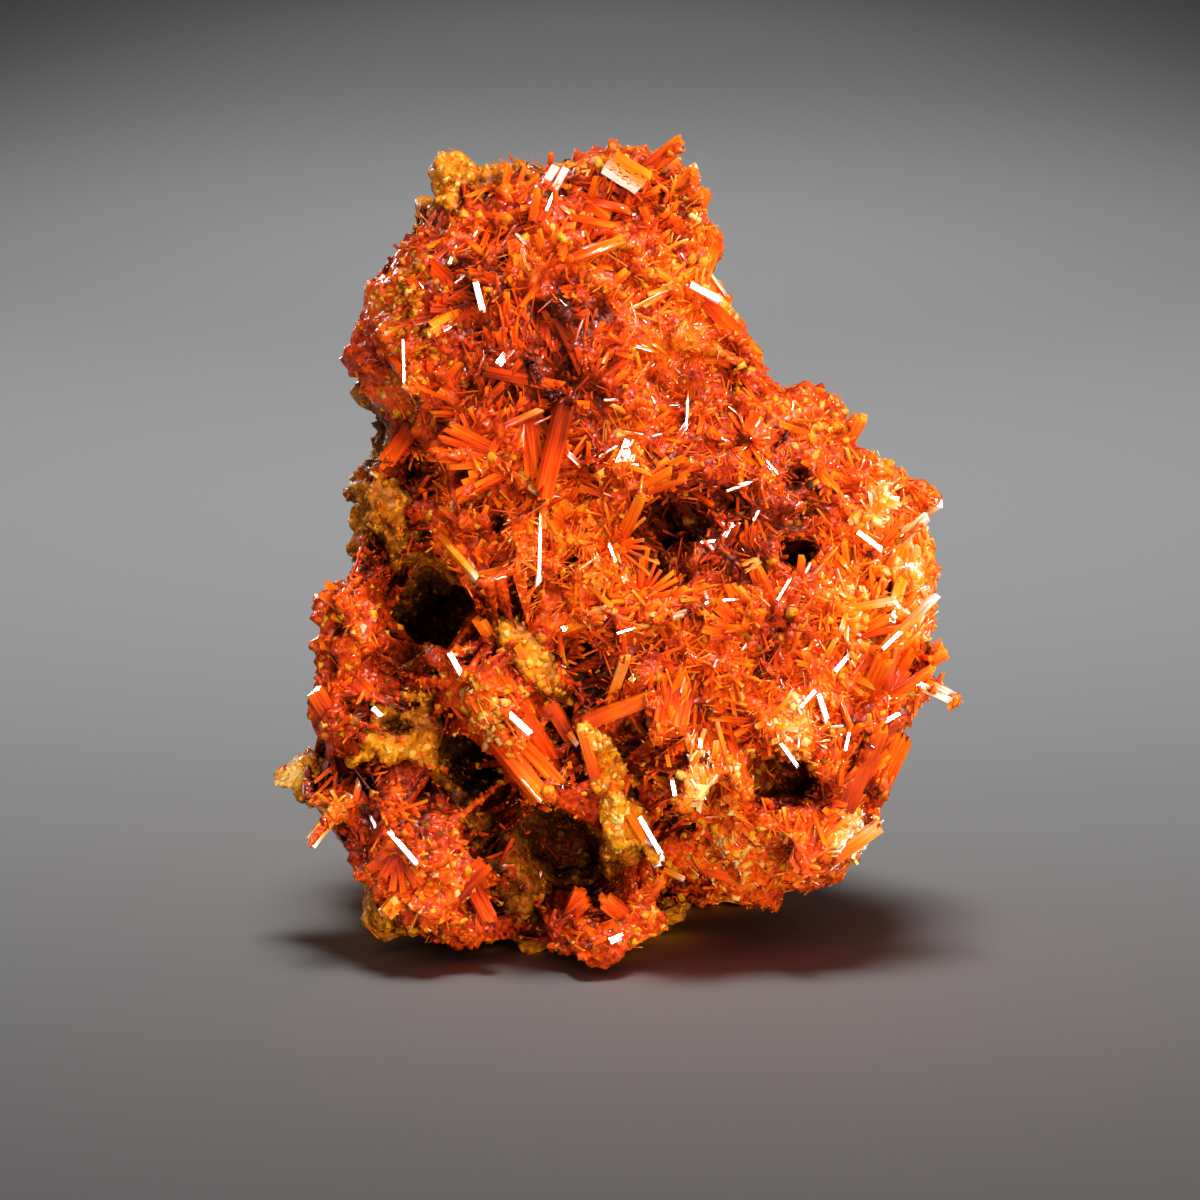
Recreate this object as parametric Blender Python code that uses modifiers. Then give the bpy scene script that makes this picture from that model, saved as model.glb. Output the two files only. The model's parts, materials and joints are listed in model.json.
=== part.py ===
"""Crocoite: a hand specimen of lead chromate crystals grown over a gossan matrix.

The matrix is a block of porous iron oxide that shows on the left flank, in the hollows,
along the underside and over the back. Crocoite covers its front, crown and right side
in one tangled mass, and stands on it in smaller clusters that the hollows keep apart.
Every crystal is fused to the cluster that it grows from.
"""

import math
import random

import bmesh
import bpy
from mathutils import Matrix, Vector, noise

MM = 0.001

# All sizes from here on are in millimetres. X is to the right, -Y is the crystal face.
GAP = 0.3
FLOOR_TRIM = 0.35
SQUARENESS = 2.3
RING_POINTS = 44

# The face grid: 1200 steps each way over the crystal face, seen from VIEWPOINT, row 0 at the top.
GRID_STEPS = 1200
GRID_STEP = 0.11
VIEW_DISTANCE = 495.0
VIEW_RISE = math.radians(12.0)
GRID_CENTRE = Vector((-1.3, 0.0, 37.0))

# One section of a body: height, then its left, right, front and back reach.
MATRIX_SECTIONS = (
    (-2.0, -20.5, 3.5, -11.5, 14.0),
    (3.0, -24.5, 8.0, -13.0, 17.5),
    (6.0, -26.5, 12.5, -13.5, 19.5),
    (10.0, -28.5, 19.0, -14.0, 21.5),
    (14.5, -30.5, 23.5, -14.0, 22.5),
    (19.0, -31.0, 25.0, -14.0, 23.0),
    (23.5, -31.0, 26.0, -14.0, 23.0),
    (28.0, -31.5, 28.0, -13.5, 23.0),
    (32.5, -30.0, 29.0, -13.0, 23.0),
    (37.0, -28.5, 29.0, -12.5, 22.5),
    (41.5, -26.8, 28.0, -12.0, 22.0),
    (46.0, -26.8, 27.0, -11.5, 21.0),
    (50.5, -27.6, 25.0, -11.0, 20.0),
    (55.0, -27.0, 21.0, -10.0, 19.0),
    (59.5, -27.5, 17.0, -9.5, 18.0),
    (64.0, -27.5, 10.0, -9.0, 16.5),
    (68.5, -27.0, 8.0, -8.5, 15.0),
    (73.0, -24.5, 7.0, -8.0, 13.0),
    (77.5, -22.0, 7.0, -7.0, 11.5),
    (82.0, -18.5, 6.0, -5.0, 9.5),
    (84.5, -14.0, 4.0, -3.0, 7.5),
)
MAIN_SECTIONS = (
    (4.5, 8.0, 17.0, -12.0, 3.0),
    (7.0, 5.5, 23.5, -15.5, 7.0),
    (10.5, 4.5, 27.0, -18.5, 10.0),
    (14.5, 3.0, 29.5, -21.0, 11.0),
    (19.0, 1.5, 30.0, -22.0, 12.0),
    (23.5, -1.5, 32.5, -22.5, 12.5),
    (28.0, -5.5, 35.5, -22.5, 13.0),
    (32.5, -9.5, 35.5, -22.0, 13.5),
    (37.0, -14.0, 36.5, -21.5, 14.0),
    (41.5, -19.0, 35.5, -20.5, 14.0),
    (46.0, -21.5, 34.5, -20.0, 14.0),
    (50.5, -22.5, 32.5, -19.0, 13.5),
    (55.0, -23.5, 28.0, -18.5, 13.0),
    (59.5, -25.0, 24.5, -17.5, 12.0),
    (64.0, -29.0, 16.5, -17.0, 11.0),
    (68.5, -29.0, 14.0, -16.0, 10.0),
    (73.0, -26.5, 12.0, -15.0, 9.0),
    (77.5, -21.5, 12.0, -14.0, 8.0),
    (81.0, -18.5, 11.0, -12.5, 7.5),
    (83.5, -13.0, 9.5, -11.0, 6.5),
    (86.0, -5.0, 7.2, -9.0, 5.0),
    (87.6, -2.0, 5.0, -6.5, 3.0),
)

# A lump: centre, radii, and a lean in degrees about Y (positive leans its top to the right).
MATRIX_LUMPS = {
    "knob": ((-16.6, -3.0, 82.6), (3.4, 4.8, 3.8), 0),
    "flank": ((-24.4, -6.0, 47.5), (4.0, 7.0, 6.5), 0),
    "granular_slope": ((-23.5, -11.0, 26.0), (7.5, 7.5, 7.0), 20),
    "foot_rock": ((-21.5, -11.0, 10.5), (8.0, 6.5, 10.0), 0),
    "spur": ((-32.0, -8.0, 19.2), (6.2, 3.2, 2.0), 15),
    "spine": ((-0.5, -14.0, 19.0), (4.6, 6.5, 10.5), -14),
    "toe_rock": ((-2.5, -10.0, 4.0), (6.0, 6.0, 5.0), 0),
    "heel": ((8.0, 11.0, 3.0), (9.5, 8.0, 6.0), 0),
    "back_ledge": ((6.0, 20.0, 31.0), (13.0, 6.0, 5.0), 25),
    "back_shoulder": ((-14.0, 15.5, 58.0), (9.0, 6.5, 6.0), -20),
}
CLUSTER_LUMPS = {
    "left_lobe_crystals": (
        ((-28.2, -12.5, 37.0), (3.9, 6.5, 7.2), 0),
        ((-28.6, -13.0, 28.5), (3.9, 6.0, 6.5), 0),
    ),
    "diagonal_ridge_crystals": (
        ((-14.5, -16.0, 30.0), (3.0, 5.2, 6.5), -38),
        ((-9.0, -16.5, 22.5), (3.0, 5.0, 6.5), -38),
    ),
    "foot_crystals": (
        ((-22.0, -16.5, 13.0), (7.2, 5.5, 6.5), 15),
        ((-28.5, -13.5, 17.0), (5.0, 4.5, 3.5), 30),
        ((-19.0, -16.0, 5.5), (5.0, 5.0, 4.4), 0),
    ),
    "toe_crystals": (
        ((-3.0, -16.5, 4.0), (4.8, 5.0, 4.0), 0),
        ((3.0, -15.0, 6.8), (3.4, 4.5, 3.3), 0),
    ),
}

# A hollow: face grid column and row, its radii across, into and up the face, sink, lean.
HOLLOWS = {
    "vug": (424, 612, (6.0, 11.0, 5.0), 4.0, 0),
    "vug_mouth": (455, 606, (4.0, 6.0, 2.8), 1.5, 20),
    "ridge_crevice": (528, 624, (2.2, 6.0, 4.6), 1.0, -40),
    "under_ledge": (606, 678, (5.0, 6.5, 2.4), 1.5, 25),
    "valley": (494, 776, (2.6, 7.0, 9.0), 0.5, -52),
    "valley_foot": (566, 838, (5.0, 7.0, 5.5), 1.5, -30),
    "centre_pit": (690, 522, (4.6, 5.0, 2.8), 0.5, 0),
    "pin_hole": (802, 552, (1.5, 5.0, 1.9), 1.0, 0),
    "right_pit": (786, 772, (4.0, 6.5, 2.8), 1.0, 15),
    "flank_notch": (372, 432, (1.7, 6.0, 3.4), 0.0, 10),
}

# A pit of the back: centre and radii.
BACK_PITS = {
    "back_gash": ((-12.0, 24.0, 38.0), (3.0, 5.5, 8.0)),
    "back_pit": ((13.0, 24.0, 20.0), (6.0, 5.0, 3.5)),
    "back_pocket": ((-4.0, 19.5, 70.0), (4.5, 5.5, 3.5)),
    "side_pocket": ((28.0, 15.0, 40.0), (4.5, 4.0, 6.0)),
}

# A crystal on the face grid: root column and row, tip column and row, how far its tip
# stands off the surface, its width and its thickness.
MAIN_CRYSTALS = (
    (529, 212, 556, 166, 2.6, 1.5, 1.0),
    (541, 212, 565, 168, 1.6, 1.4, 1.0),
    (600, 166, 656, 184, 2.0, 4.2, 2.4),
    (494, 210, 594, 213, 1.2, 1.5, 1.3),
    (664, 212, 699, 166, 2.6, 2.0, 1.4),
    (684, 236, 708, 186, 1.8, 2.2, 1.5),
    (552, 266, 624, 240, 1.6, 1.3, 1.2),
    (516, 284, 566, 232, 1.6, 1.9, 1.3),
    (474, 306, 402, 284, 1.6, 1.3, 1.2),
    (474, 306, 428, 262, 2.0, 2.0, 1.3),
    (470, 308, 424, 334, 2.2, 2.2, 1.4),
    (480, 300, 412, 352, 1.4, 1.8, 1.4),
    (476, 318, 490, 286, 2.4, 1.4, 1.2),
    (520, 304, 470, 376, 1.8, 2.6, 1.5),
    (522, 300, 536, 392, 2.0, 2.6, 1.3),
    (560, 318, 586, 372, 1.8, 2.2, 1.6),
    (478, 370, 566, 388, 1.8, 1.6, 1.2),
    (486, 402, 590, 406, 2.2, 1.2, 1.1),
    (646, 316, 750, 368, 2.4, 2.8, 1.8),
    (698, 292, 766, 366, 1.4, 2.0, 1.6),
    (690, 286, 724, 304, 1.8, 2.0, 1.3),
    (566, 400, 540, 506, 2.2, 2.4, 1.6),
    (522, 398, 506, 486, 1.8, 2.6, 1.6),
    (604, 398, 590, 476, 2.2, 2.2, 1.5),
    (648, 402, 618, 470, 2.0, 1.9, 1.4),
    (632, 424, 648, 404, 2.6, 2.0, 1.8),
    (758, 392, 747, 438, 2.2, 1.6, 1.3),
    (604, 506, 696, 460, 2.6, 2.6, 1.7),
    (596, 492, 668, 474, 1.8, 1.6, 1.2),
    (618, 548, 642, 494, 2.8, 1.2, 1.1),
    (614, 544, 596, 590, 2.6, 1.2, 1.1),
    (610, 540, 626, 582, 3.0, 1.1, 1.1),
    (542, 512, 538, 588, 3.0, 1.2, 1.1),
    (546, 544, 478, 594, 2.2, 1.7, 1.3),
    (552, 560, 474, 578, 1.6, 1.5, 1.2),
    (424, 516, 484, 588, 2.4, 2.6, 1.8),
    (520, 462, 418, 452, 1.8, 1.8, 1.3),
    (516, 466, 452, 500, 1.8, 1.8, 1.4),
    (516, 460, 446, 424, 1.8, 1.6, 1.2),
    (412, 428, 382, 468, 1.8, 2.4, 1.6),
    (794, 446, 838, 494, 2.0, 1.5, 1.2),
    (760, 470, 708, 430, 1.8, 1.3, 1.2),
    (886, 462, 938, 500, 1.4, 2.6, 1.8),
    (920, 514, 946, 500, 1.2, 2.0, 1.8),
    (888, 552, 928, 516, 2.6, 1.7, 1.2),
    (860, 530, 886, 556, 2.4, 1.5, 1.1),
    (908, 556, 892, 612, 2.2, 2.2, 1.4),
    (886, 646, 938, 594, 3.0, 1.4, 1.1),
    (840, 610, 898, 600, 2.2, 1.5, 1.2),
    (776, 668, 806, 612, 2.4, 1.5, 1.2),
    (840, 676, 908, 636, 2.2, 1.8, 1.4),
    (866, 700, 888, 652, 2.4, 2.4, 1.5),
    (912, 680, 956, 700, 1.2, 2.6, 2.2),
    (914, 668, 950, 648, 1.0, 2.2, 1.6),
    (838, 806, 874, 722, 2.4, 4.6, 2.6),
    (864, 808, 902, 730, 1.0, 4.2, 2.6),
    (758, 754, 846, 732, 1.8, 1.8, 1.5),
    (706, 732, 690, 812, 2.4, 4.2, 2.0),
    (724, 730, 744, 790, 2.4, 2.4, 1.7),
    (678, 676, 668, 736, 2.4, 4.8, 2.4),
    (634, 690, 660, 650, 3.0, 1.8, 1.3),
    (608, 708, 626, 656, 3.0, 1.4, 1.2),
    (624, 630, 688, 612, 3.2, 1.1, 1.1),
    (560, 630, 610, 610, 2.4, 2.4, 1.3),
    (580, 724, 664, 692, 1.2, 2.0, 1.6),
    (700, 590, 760, 560, 2.2, 1.3, 1.2),
    (734, 640, 690, 604, 2.2, 1.5, 1.2),
    (712, 700, 780, 664, 2.2, 1.8, 1.3),
    (760, 842, 716, 800, 1.6, 2.0, 1.5),
    (812, 822, 796, 876, 1.2, 2.8, 1.8),
    (836, 856, 884, 822, 1.2, 2.4, 2.0),
    (700, 862, 756, 886, 1.2, 2.2, 1.8),
    (820, 392, 790, 430, 1.4, 2.2, 1.8),
    (846, 440, 862, 414, 1.0, 2.0, 1.8),
    (410, 240, 436, 272, 1.4, 1.8, 1.4),
    (372, 330, 404, 372, 1.4, 1.6, 1.4),
    (648, 170, 684, 140, 1.2, 2.2, 1.8),
    (716, 240, 702, 280, 1.6, 1.8, 1.4),
)
CLUSTER_CRYSTALS = {
    "left_lobe_crystals": (
        (356, 614, 320, 586, 1.2, 2.4, 1.6),
        (330, 612, 364, 630, 2.2, 1.6, 1.2),
        (352, 650, 318, 640, 1.4, 2.0, 1.6),
        (346, 672, 372, 696, 1.6, 2.2, 1.4),
        (332, 720, 314, 690, 1.2, 2.0, 1.6),
        (352, 570, 338, 608, 1.6, 2.0, 1.6),
    ),
    "diagonal_ridge_crystals": (
        (506, 756, 444, 652, 2.0, 3.4, 2.2),
        (530, 762, 472, 668, 3.0, 2.8, 1.9),
        (556, 764, 500, 672, 3.2, 2.4, 1.8),
        (496, 742, 546, 802, 2.2, 4.2, 2.4),
        (520, 740, 562, 786, 1.4, 3.0, 2.0),
        (546, 722, 470, 604, 2.0, 1.9, 1.6),
        (576, 744, 510, 640, 1.4, 2.0, 1.6),
    ),
    "foot_crystals": (
        (344, 792, 408, 826, 2.4, 2.6, 1.6),
        (360, 840, 402, 792, 1.8, 2.4, 1.8),
        (386, 830, 424, 876, 2.8, 1.7, 1.3),
        (370, 876, 398, 834, 2.0, 2.0, 1.4),
        (420, 886, 436, 840, 1.6, 2.4, 1.7),
        (334, 812, 308, 846, 1.0, 2.4, 1.6),
        (456, 894, 486, 862, 1.4, 2.6, 1.9),
        (470, 882, 492, 924, 1.4, 2.2, 1.8),
        (400, 896, 382, 918, 1.0, 2.0, 1.7),
        (440, 930, 414, 896, 1.2, 2.2, 1.8),
    ),
    "toe_crystals": (
        (560, 900, 596, 950, 1.4, 3.2, 2.2),
        (584, 940, 618, 928, 1.2, 2.4, 1.8),
        (540, 930, 578, 914, 1.2, 2.2, 1.7),
        (640, 900, 664, 872, 1.8, 2.2, 1.6),
        (636, 924, 600, 896, 1.0, 2.4, 1.8),
    ),
}
SPINE_CRYSTALS = (
    (628, 812, 662, 870, 2.0, 2.8, 1.6),
    (600, 792, 580, 720, 2.2, 2.6, 1.8),
    (614, 790, 646, 842, 1.2, 1.6, 1.4),
    (632, 760, 606, 836, 1.6, 2.2, 1.8),
)

# How many crystals are strewn over the sides that the face grid doesn't reach.
STREWN = {"main_crystal_mass": 24, "gossan_matrix": 6}
STREWN_LENGTH = (3.5, 7.0)
STREWN_WIDTH = (1.4, 2.4)
STREWN_RISE = (0.05, 0.35)
STREWN_FLOOR = 5.0
ROOT_DEPTH = 1.8

TRIANGLES = {
    "gossan_matrix": 1100,
    "main_crystal_mass": 900,
    "left_lobe_crystals": 200,
    "diagonal_ridge_crystals": 200,
    "foot_crystals": 240,
    "toe_crystals": 180,
}


def metres(point):
    return Vector(point) * MM


def clear_scene():
    for item in list(bpy.data.objects):
        bpy.data.objects.remove(item)


def new_collection(name, shown):
    made = bpy.data.collections.new(name)
    made.hide_render = not shown
    bpy.context.scene.collection.children.link(made)
    return made


def material(name, colour, roughness):
    made = bpy.data.materials.new(name)
    made.use_nodes = True
    shader = made.node_tree.nodes["Principled BSDF"]
    shader.inputs["Base Color"].default_value = (*colour, 1.0)
    shader.inputs["Roughness"].default_value = roughness
    shader.inputs["Metallic"].default_value = 0.0
    return made


# The face grid and the plain form behind the mesh


def view_axes():
    """Right, up and away, for someone who looks at the crystal face."""
    away = Vector((0.0, math.cos(VIEW_RISE), -math.sin(VIEW_RISE)))
    right = Vector((1.0, 0.0, 0.0))
    return right, right.cross(away), away


def grid_ray(column, row):
    """Where the sight line through a face grid point starts, and its direction."""
    right, up, away = view_axes()
    eye = GRID_CENTRE - away * VIEW_DISTANCE
    half = GRID_STEPS / 2
    aim = GRID_CENTRE + right * (column - half) * GRID_STEP + up * (half - row) * GRID_STEP
    return eye, (aim - eye).normalized()


def grid_point(point):
    """The face grid column and row where a point appears."""
    right, up, away = view_axes()
    offset = point - (GRID_CENTRE - away * VIEW_DISTANCE)
    scale = VIEW_DISTANCE / offset.dot(away) / GRID_STEP
    half = GRID_STEPS / 2
    return half + offset.dot(right) * scale, half - offset.dot(up) * scale


def section_at(sections, height):
    """The left, right, front and back reach at a height, or None past the ends."""
    for low, high in zip(sections, sections[1:]):
        if low[0] <= height <= high[0]:
            share = (height - low[0]) / (high[0] - low[0])
            return [a + (b - a) * share for a, b in zip(low[1:], high[1:])]
    return None


def in_sections(point, sections):
    reach = section_at(sections, point.z)
    if reach is None:
        return False
    left, right, front, back = reach
    across = abs(point.x - (left + right) / 2) / ((right - left) / 2)
    deep = abs(point.y - (front + back) / 2) / ((back - front) / 2)
    return across**SQUARENESS + deep**SQUARENESS <= 1


def in_lump(point, lump):
    centre, radii, lean = lump
    offset = Matrix.Rotation(-math.radians(lean), 3, "Y") @ (point - Vector(centre))
    return sum((o / r) ** 2 for o, r in zip(offset, radii)) <= 1


def in_specimen(point):
    lumps = [*MATRIX_LUMPS.values(), *(x for group in CLUSTER_LUMPS.values() for x in group)]
    return (
        in_sections(point, MAIN_SECTIONS)
        or in_sections(point, MATRIX_SECTIONS)
        or any(in_lump(point, lump) for lump in lumps)
    )


def depth_on_face(column, row):
    """How far along its sight line a face grid point meets the specimen, or None."""
    eye, way = grid_ray(column, row)
    step = 0.25
    for i in range(int(100 / step)):
        reach = VIEW_DISTANCE - 50 + i * step
        if in_specimen(eye + way * reach):
            return reach
    return None


def crystal_ends(column, row, tip_column, tip_row, lift):
    """A crystal's root, sunk below the surface, and its tip, lifted off it."""
    depth = depth_on_face(column, row)
    tip_depth = depth_on_face(tip_column, tip_row)
    eye, way = grid_ray(column, row)
    tip_eye, tip_way = grid_ray(tip_column, tip_row)
    if tip_depth is None or tip_depth > depth + 4:
        tip_depth = depth
    return eye + way * (depth + ROOT_DEPTH), tip_eye + tip_way * (tip_depth - lift)


# Shapes


def ring(height, left, right, front, back):
    """Points round one section, a rounded rectangle."""
    power = 2 / SQUARENESS
    points = []
    for i in range(RING_POINTS):
        turn = math.tau * i / RING_POINTS
        c, s = math.cos(turn), math.sin(turn)
        points.append(
            (
                (left + right) / 2 + (right - left) / 2 * math.copysign(abs(c) ** power, c),
                (front + back) / 2 + (back - front) / 2 * math.copysign(abs(s) ** power, s),
                height,
            )
        )
    return points


def add_loft(bm, sections):
    rings = [[bm.verts.new(metres(p)) for p in ring(*section)] for section in sections]
    for low, high in zip(rings, rings[1:]):
        for i in range(RING_POINTS):
            j = (i + 1) % RING_POINTS
            bm.faces.new((low[i], low[j], high[j], high[i]))
    bm.faces.new(reversed(rings[0]))
    bm.faces.new(rings[-1])


def add_ellipsoid(bm, centre, radii, turn, subdivisions=3):
    place = Matrix.Translation(metres(centre)) @ turn.to_4x4() @ Matrix.Diagonal((*metres(radii), 1))
    bmesh.ops.create_icosphere(bm, subdivisions=subdivisions, radius=1, matrix=place)


def add_crystal(bm, root, tip, width, thickness, spin, slant):
    """A four-sided prism from root to tip. Its end is cut at a slant, as a broken or
    chisel-ended crystal's is."""
    along = tip - root
    frame = along.to_track_quat("Z", "Y").to_matrix().to_4x4() @ Matrix.Rotation(spin, 4, "Z")
    place = (
        Matrix.Translation(metres((root + tip) / 2))
        @ frame
        @ Matrix.Diagonal((width * MM, thickness * MM, along.length * MM, 1))
        @ Matrix.Rotation(math.pi / 4, 4, "Z")
    )
    corner = math.sqrt(0.5)
    made = bmesh.ops.create_cone(
        bm, cap_ends=True, segments=4, radius1=corner, radius2=corner * 0.9, depth=1, matrix=place
    )
    axis = along.normalized()
    across = frame.to_3x3() @ Vector((1, 0, 0))
    for vert in made["verts"]:
        offset = vert.co - metres(tip)
        if offset.dot(axis) > -along.length * MM / 2:
            vert.co += axis * (offset.dot(across) * slant)


def mesh_object(name, bm, collection):
    mesh = bpy.data.meshes.new(name)
    bm.to_mesh(mesh)
    bm.free()
    made = bpy.data.objects.new(name, mesh)
    collection.objects.link(made)
    return made


def apply_modifiers(item):
    """Makes the evaluated shape the object's own mesh."""
    graph = bpy.context.evaluated_depsgraph_get()
    item.data = bpy.data.meshes.new_from_object(item.evaluated_get(graph))
    item.modifiers.clear()


def boolean(item, cutters, operation):
    """Joins or cuts with each cutter in turn. The manifold solver keeps the result closed
    where the exact one leaves open edges between crystals that nearly meet."""
    for cutter in cutters:
        step = item.modifiers.new(operation.lower(), "BOOLEAN")
        step.operation = operation
        step.solver = "MANIFOLD"
        step.object = cutter
    apply_modifiers(item)
    for cutter in cutters:
        bpy.data.objects.remove(cutter)


def keep_largest_body(item):
    """Drops the crumbs that a cut leaves loose."""
    bm = bmesh.new()
    bm.from_mesh(item.data)
    bodies, seen = [], set()
    for start in bm.faces:
        if start in seen:
            continue
        seen.add(start)
        body, todo = [], [start]
        while todo:
            face = todo.pop()
            body.append(face)
            for edge in face.edges:
                for other in edge.link_faces:
                    if other not in seen:
                        seen.add(other)
                        todo.append(other)
        bodies.append(body)
    bodies.sort(key=len)
    loose = [face for body in bodies[:-1] for face in body]
    bmesh.ops.delete(bm, geom=loose, context="FACES")
    bmesh.ops.delete(bm, geom=[v for v in bm.verts if not v.link_faces], context="VERTS")
    bm.to_mesh(item.data)
    bm.free()


def roughen(item, strength, size, seed):
    """Moves the surface in and out by up to half the strength, in patches of that size."""
    shift = Vector((seed * 7.3, seed * 3.1, seed * 5.7))
    bm = bmesh.new()
    bm.from_mesh(item.data)
    bm.normal_update()
    moves = []
    for vert in bm.verts:
        value = noise.fractal(vert.co / (size * MM) + shift, 0.9, 2.1, 3)
        moves.append(vert.normal * value * strength * MM / 2)
    for vert, move in zip(bm.verts, moves):
        vert.co += move
    bm.to_mesh(item.data)
    bm.free()


def thin_out(item, triangles):
    now = sum(len(face.vertices) - 2 for face in item.data.polygons)
    step = item.modifiers.new("facets", "DECIMATE")
    step.ratio = min(1.0, triangles / now)
    step.use_collapse_triangulate = True
    apply_modifiers(item)


def rock_body(name, sections, lumps, hollows, collection, seed):
    """One natural mass: its sections and lumps joined, roughened, hollowed and faceted."""
    bm = bmesh.new()
    if sections:
        add_loft(bm, sections)
    for centre, radii, lean in lumps:
        add_ellipsoid(bm, centre, radii, Matrix.Rotation(math.radians(lean), 3, "Y"))
    item = mesh_object(name, bm, collection)
    join = item.modifiers.new("join", "REMESH")
    join.mode = "VOXEL"
    join.voxel_size = 1.0 * MM
    apply_modifiers(item)
    roughen(item, 2.6, 7.0, seed)
    roughen(item, 1.2, 2.6, seed + 1)
    thin_out(item, TRIANGLES[name])
    if hollows:
        boolean(item, hollow_cutters(collection), "DIFFERENCE")
    return item


def hollow_cutters(collection):
    """The hollows, those of the crystal face set square to its grid, all roughened."""
    right, up, away = view_axes()
    square = Matrix((right, away, up)).transposed()
    placed = {name: (*pit, Matrix.Identity(3)) for name, pit in BACK_PITS.items()}
    for name, (column, row, radii, sink, lean) in HOLLOWS.items():
        eye, way = grid_ray(column, row)
        centre = eye + way * (depth_on_face(column, row) + sink)
        turn = square @ Matrix.Rotation(math.radians(lean), 3, "Y")
        placed[name] = (centre, radii, turn)
    made = []
    for seed, (name, (centre, radii, turn)) in enumerate(placed.items(), 31):
        bm = bmesh.new()
        add_ellipsoid(bm, centre, radii, turn, 2)
        item = mesh_object(name, bm, collection)
        roughen(item, 1.8, 3.0, seed)
        made.append(item)
    return made


def face_crystals(name, crystals, collection, chance):
    """The crystals that are placed on the face grid, each its own helper."""
    made = []
    for column, row, tip_column, tip_row, lift, width, thickness in crystals:
        root, tip = crystal_ends(column, row, tip_column, tip_row, lift)
        bm = bmesh.new()
        spin = chance.uniform(-0.5, 0.5)
        slant = chance.choice((-0.9, -0.5, 0.0, 0.5, 0.9))
        add_crystal(bm, root, tip, width, thickness, spin, slant)
        made.append(mesh_object(name + "_crystal", bm, collection))
    return made


def strewn_crystals(item, count, collection, chance):
    """Crystals that lie over the sides of a mass, away from the face grid."""
    away = view_axes()[2]
    faces = [
        face
        for face in item.data.polygons
        if face.normal.dot(-away) < 0.35 and face.center.z > STREWN_FLOOR * MM
    ]
    areas = [face.area for face in faces]
    made = []
    while len(made) < count:
        face = chance.choices(faces, areas)[0]
        spread = Vector([chance.uniform(-1, 1) for _ in range(3)])
        along = face.normal.cross(spread).normalized()
        way = (along + face.normal * chance.uniform(*STREWN_RISE)).normalized()
        start = face.center / MM
        width = chance.uniform(*STREWN_WIDTH)
        thickness = width * chance.uniform(0.6, 0.9)
        tip = start + way * chance.uniform(*STREWN_LENGTH)
        spin, slant = chance.uniform(0, 3), chance.uniform(-0.9, 0.9)
        if depth_on_face(*grid_point(tip + way)) is None:
            continue
        bm = bmesh.new()
        add_crystal(bm, start - way * ROOT_DEPTH, tip, width, thickness, spin, slant)
        made.append(mesh_object(item.name + "_strewn", bm, collection))
    return made


def grown(neighbour, distance, collection):
    """A copy whose surface stands off the original by a distance."""
    made = bpy.data.objects.new(neighbour.name + "_grown", neighbour.data.copy())
    collection.objects.link(made)
    bm = bmesh.new()
    bm.from_mesh(made.data)
    bm.normal_update()
    moves = [vert.normal * min(vert.calc_shell_factor(), 1.6) * distance for vert in bm.verts]
    for vert, move in zip(bm.verts, moves):
        vert.co += move
    bm.to_mesh(made.data)
    bm.free()
    return made


def clear_of(item, neighbour, collection):
    """Cuts an object back so that it keeps the gap to its neighbour. The half-grown copy
    covers the tight corners where the fully grown one folds over itself."""
    cutters = [grown(neighbour, GAP * share * MM, collection) for share in (1.0, 0.5, 0.1)]
    boolean(item, cutters, "DIFFERENCE")


def trim_floor(item, height, collection):
    """Cuts the underside flat at a height."""
    block = Matrix.Translation(metres((0, 0, height - 50))) @ Matrix.Diagonal((0.2, 0.2, 0.1, 1))
    bm = bmesh.new()
    bmesh.ops.create_cube(bm, size=1, matrix=block)
    boolean(item, [mesh_object("floor_cutter", bm, collection)], "DIFFERENCE")


def finish_body(item, crystals, neighbours, floor, collection):
    """Joins a body's crystals on, then cuts it clear of its neighbours and of the floor."""
    boolean(item, crystals, "UNION")
    for neighbour in neighbours:
        clear_of(item, neighbour, collection)
    trim_floor(item, floor, collection)
    keep_largest_body(item)


def main():
    clear_scene()
    parts = new_collection("crocoite_specimen", True)
    helpers = new_collection("cutters", False)
    chance = random.Random(20)

    matrix = rock_body("gossan_matrix", MATRIX_SECTIONS, MATRIX_LUMPS.values(), True, parts, 1)
    crystals = face_crystals("spine", SPINE_CRYSTALS, helpers, chance)
    crystals += strewn_crystals(matrix, STREWN["gossan_matrix"], helpers, chance)
    finish_body(matrix, crystals, [], 0, helpers)

    main_mass = rock_body("main_crystal_mass", MAIN_SECTIONS, (), True, parts, 4)
    crystals = face_crystals("main", MAIN_CRYSTALS, helpers, chance)
    crystals += strewn_crystals(main_mass, STREWN["main_crystal_mass"], helpers, chance)
    finish_body(main_mass, crystals, [matrix], FLOOR_TRIM, helpers)

    bodies = [matrix, main_mass]
    for seed, (name, lumps) in enumerate(CLUSTER_LUMPS.items(), 8):
        cluster = rock_body(name, (), lumps, False, parts, seed)
        crystals = face_crystals(name, CLUSTER_CRYSTALS[name], helpers, chance)
        finish_body(cluster, crystals, bodies, FLOOR_TRIM, helpers)
        bodies.append(cluster)

    gossan = material("gossan", (0.30, 0.12, 0.02), 0.85)
    crocoite = material("crocoite", (0.80, 0.13, 0.01), 0.25)
    for item in bodies:
        item.data.materials.clear()
        item.data.materials.append(gossan if item is matrix else crocoite)


main()
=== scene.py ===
"""The finish of a crocoite specimen: weathered rock beds, the crystal tangle that grows on
them, single laths, and the studio that it stands in. All lengths are in metres."""

import json
import math
import random
from functools import partial

import bmesh
import bpy
import numpy as np
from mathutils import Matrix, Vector
from mathutils.bvhtree import BVHTree

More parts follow.
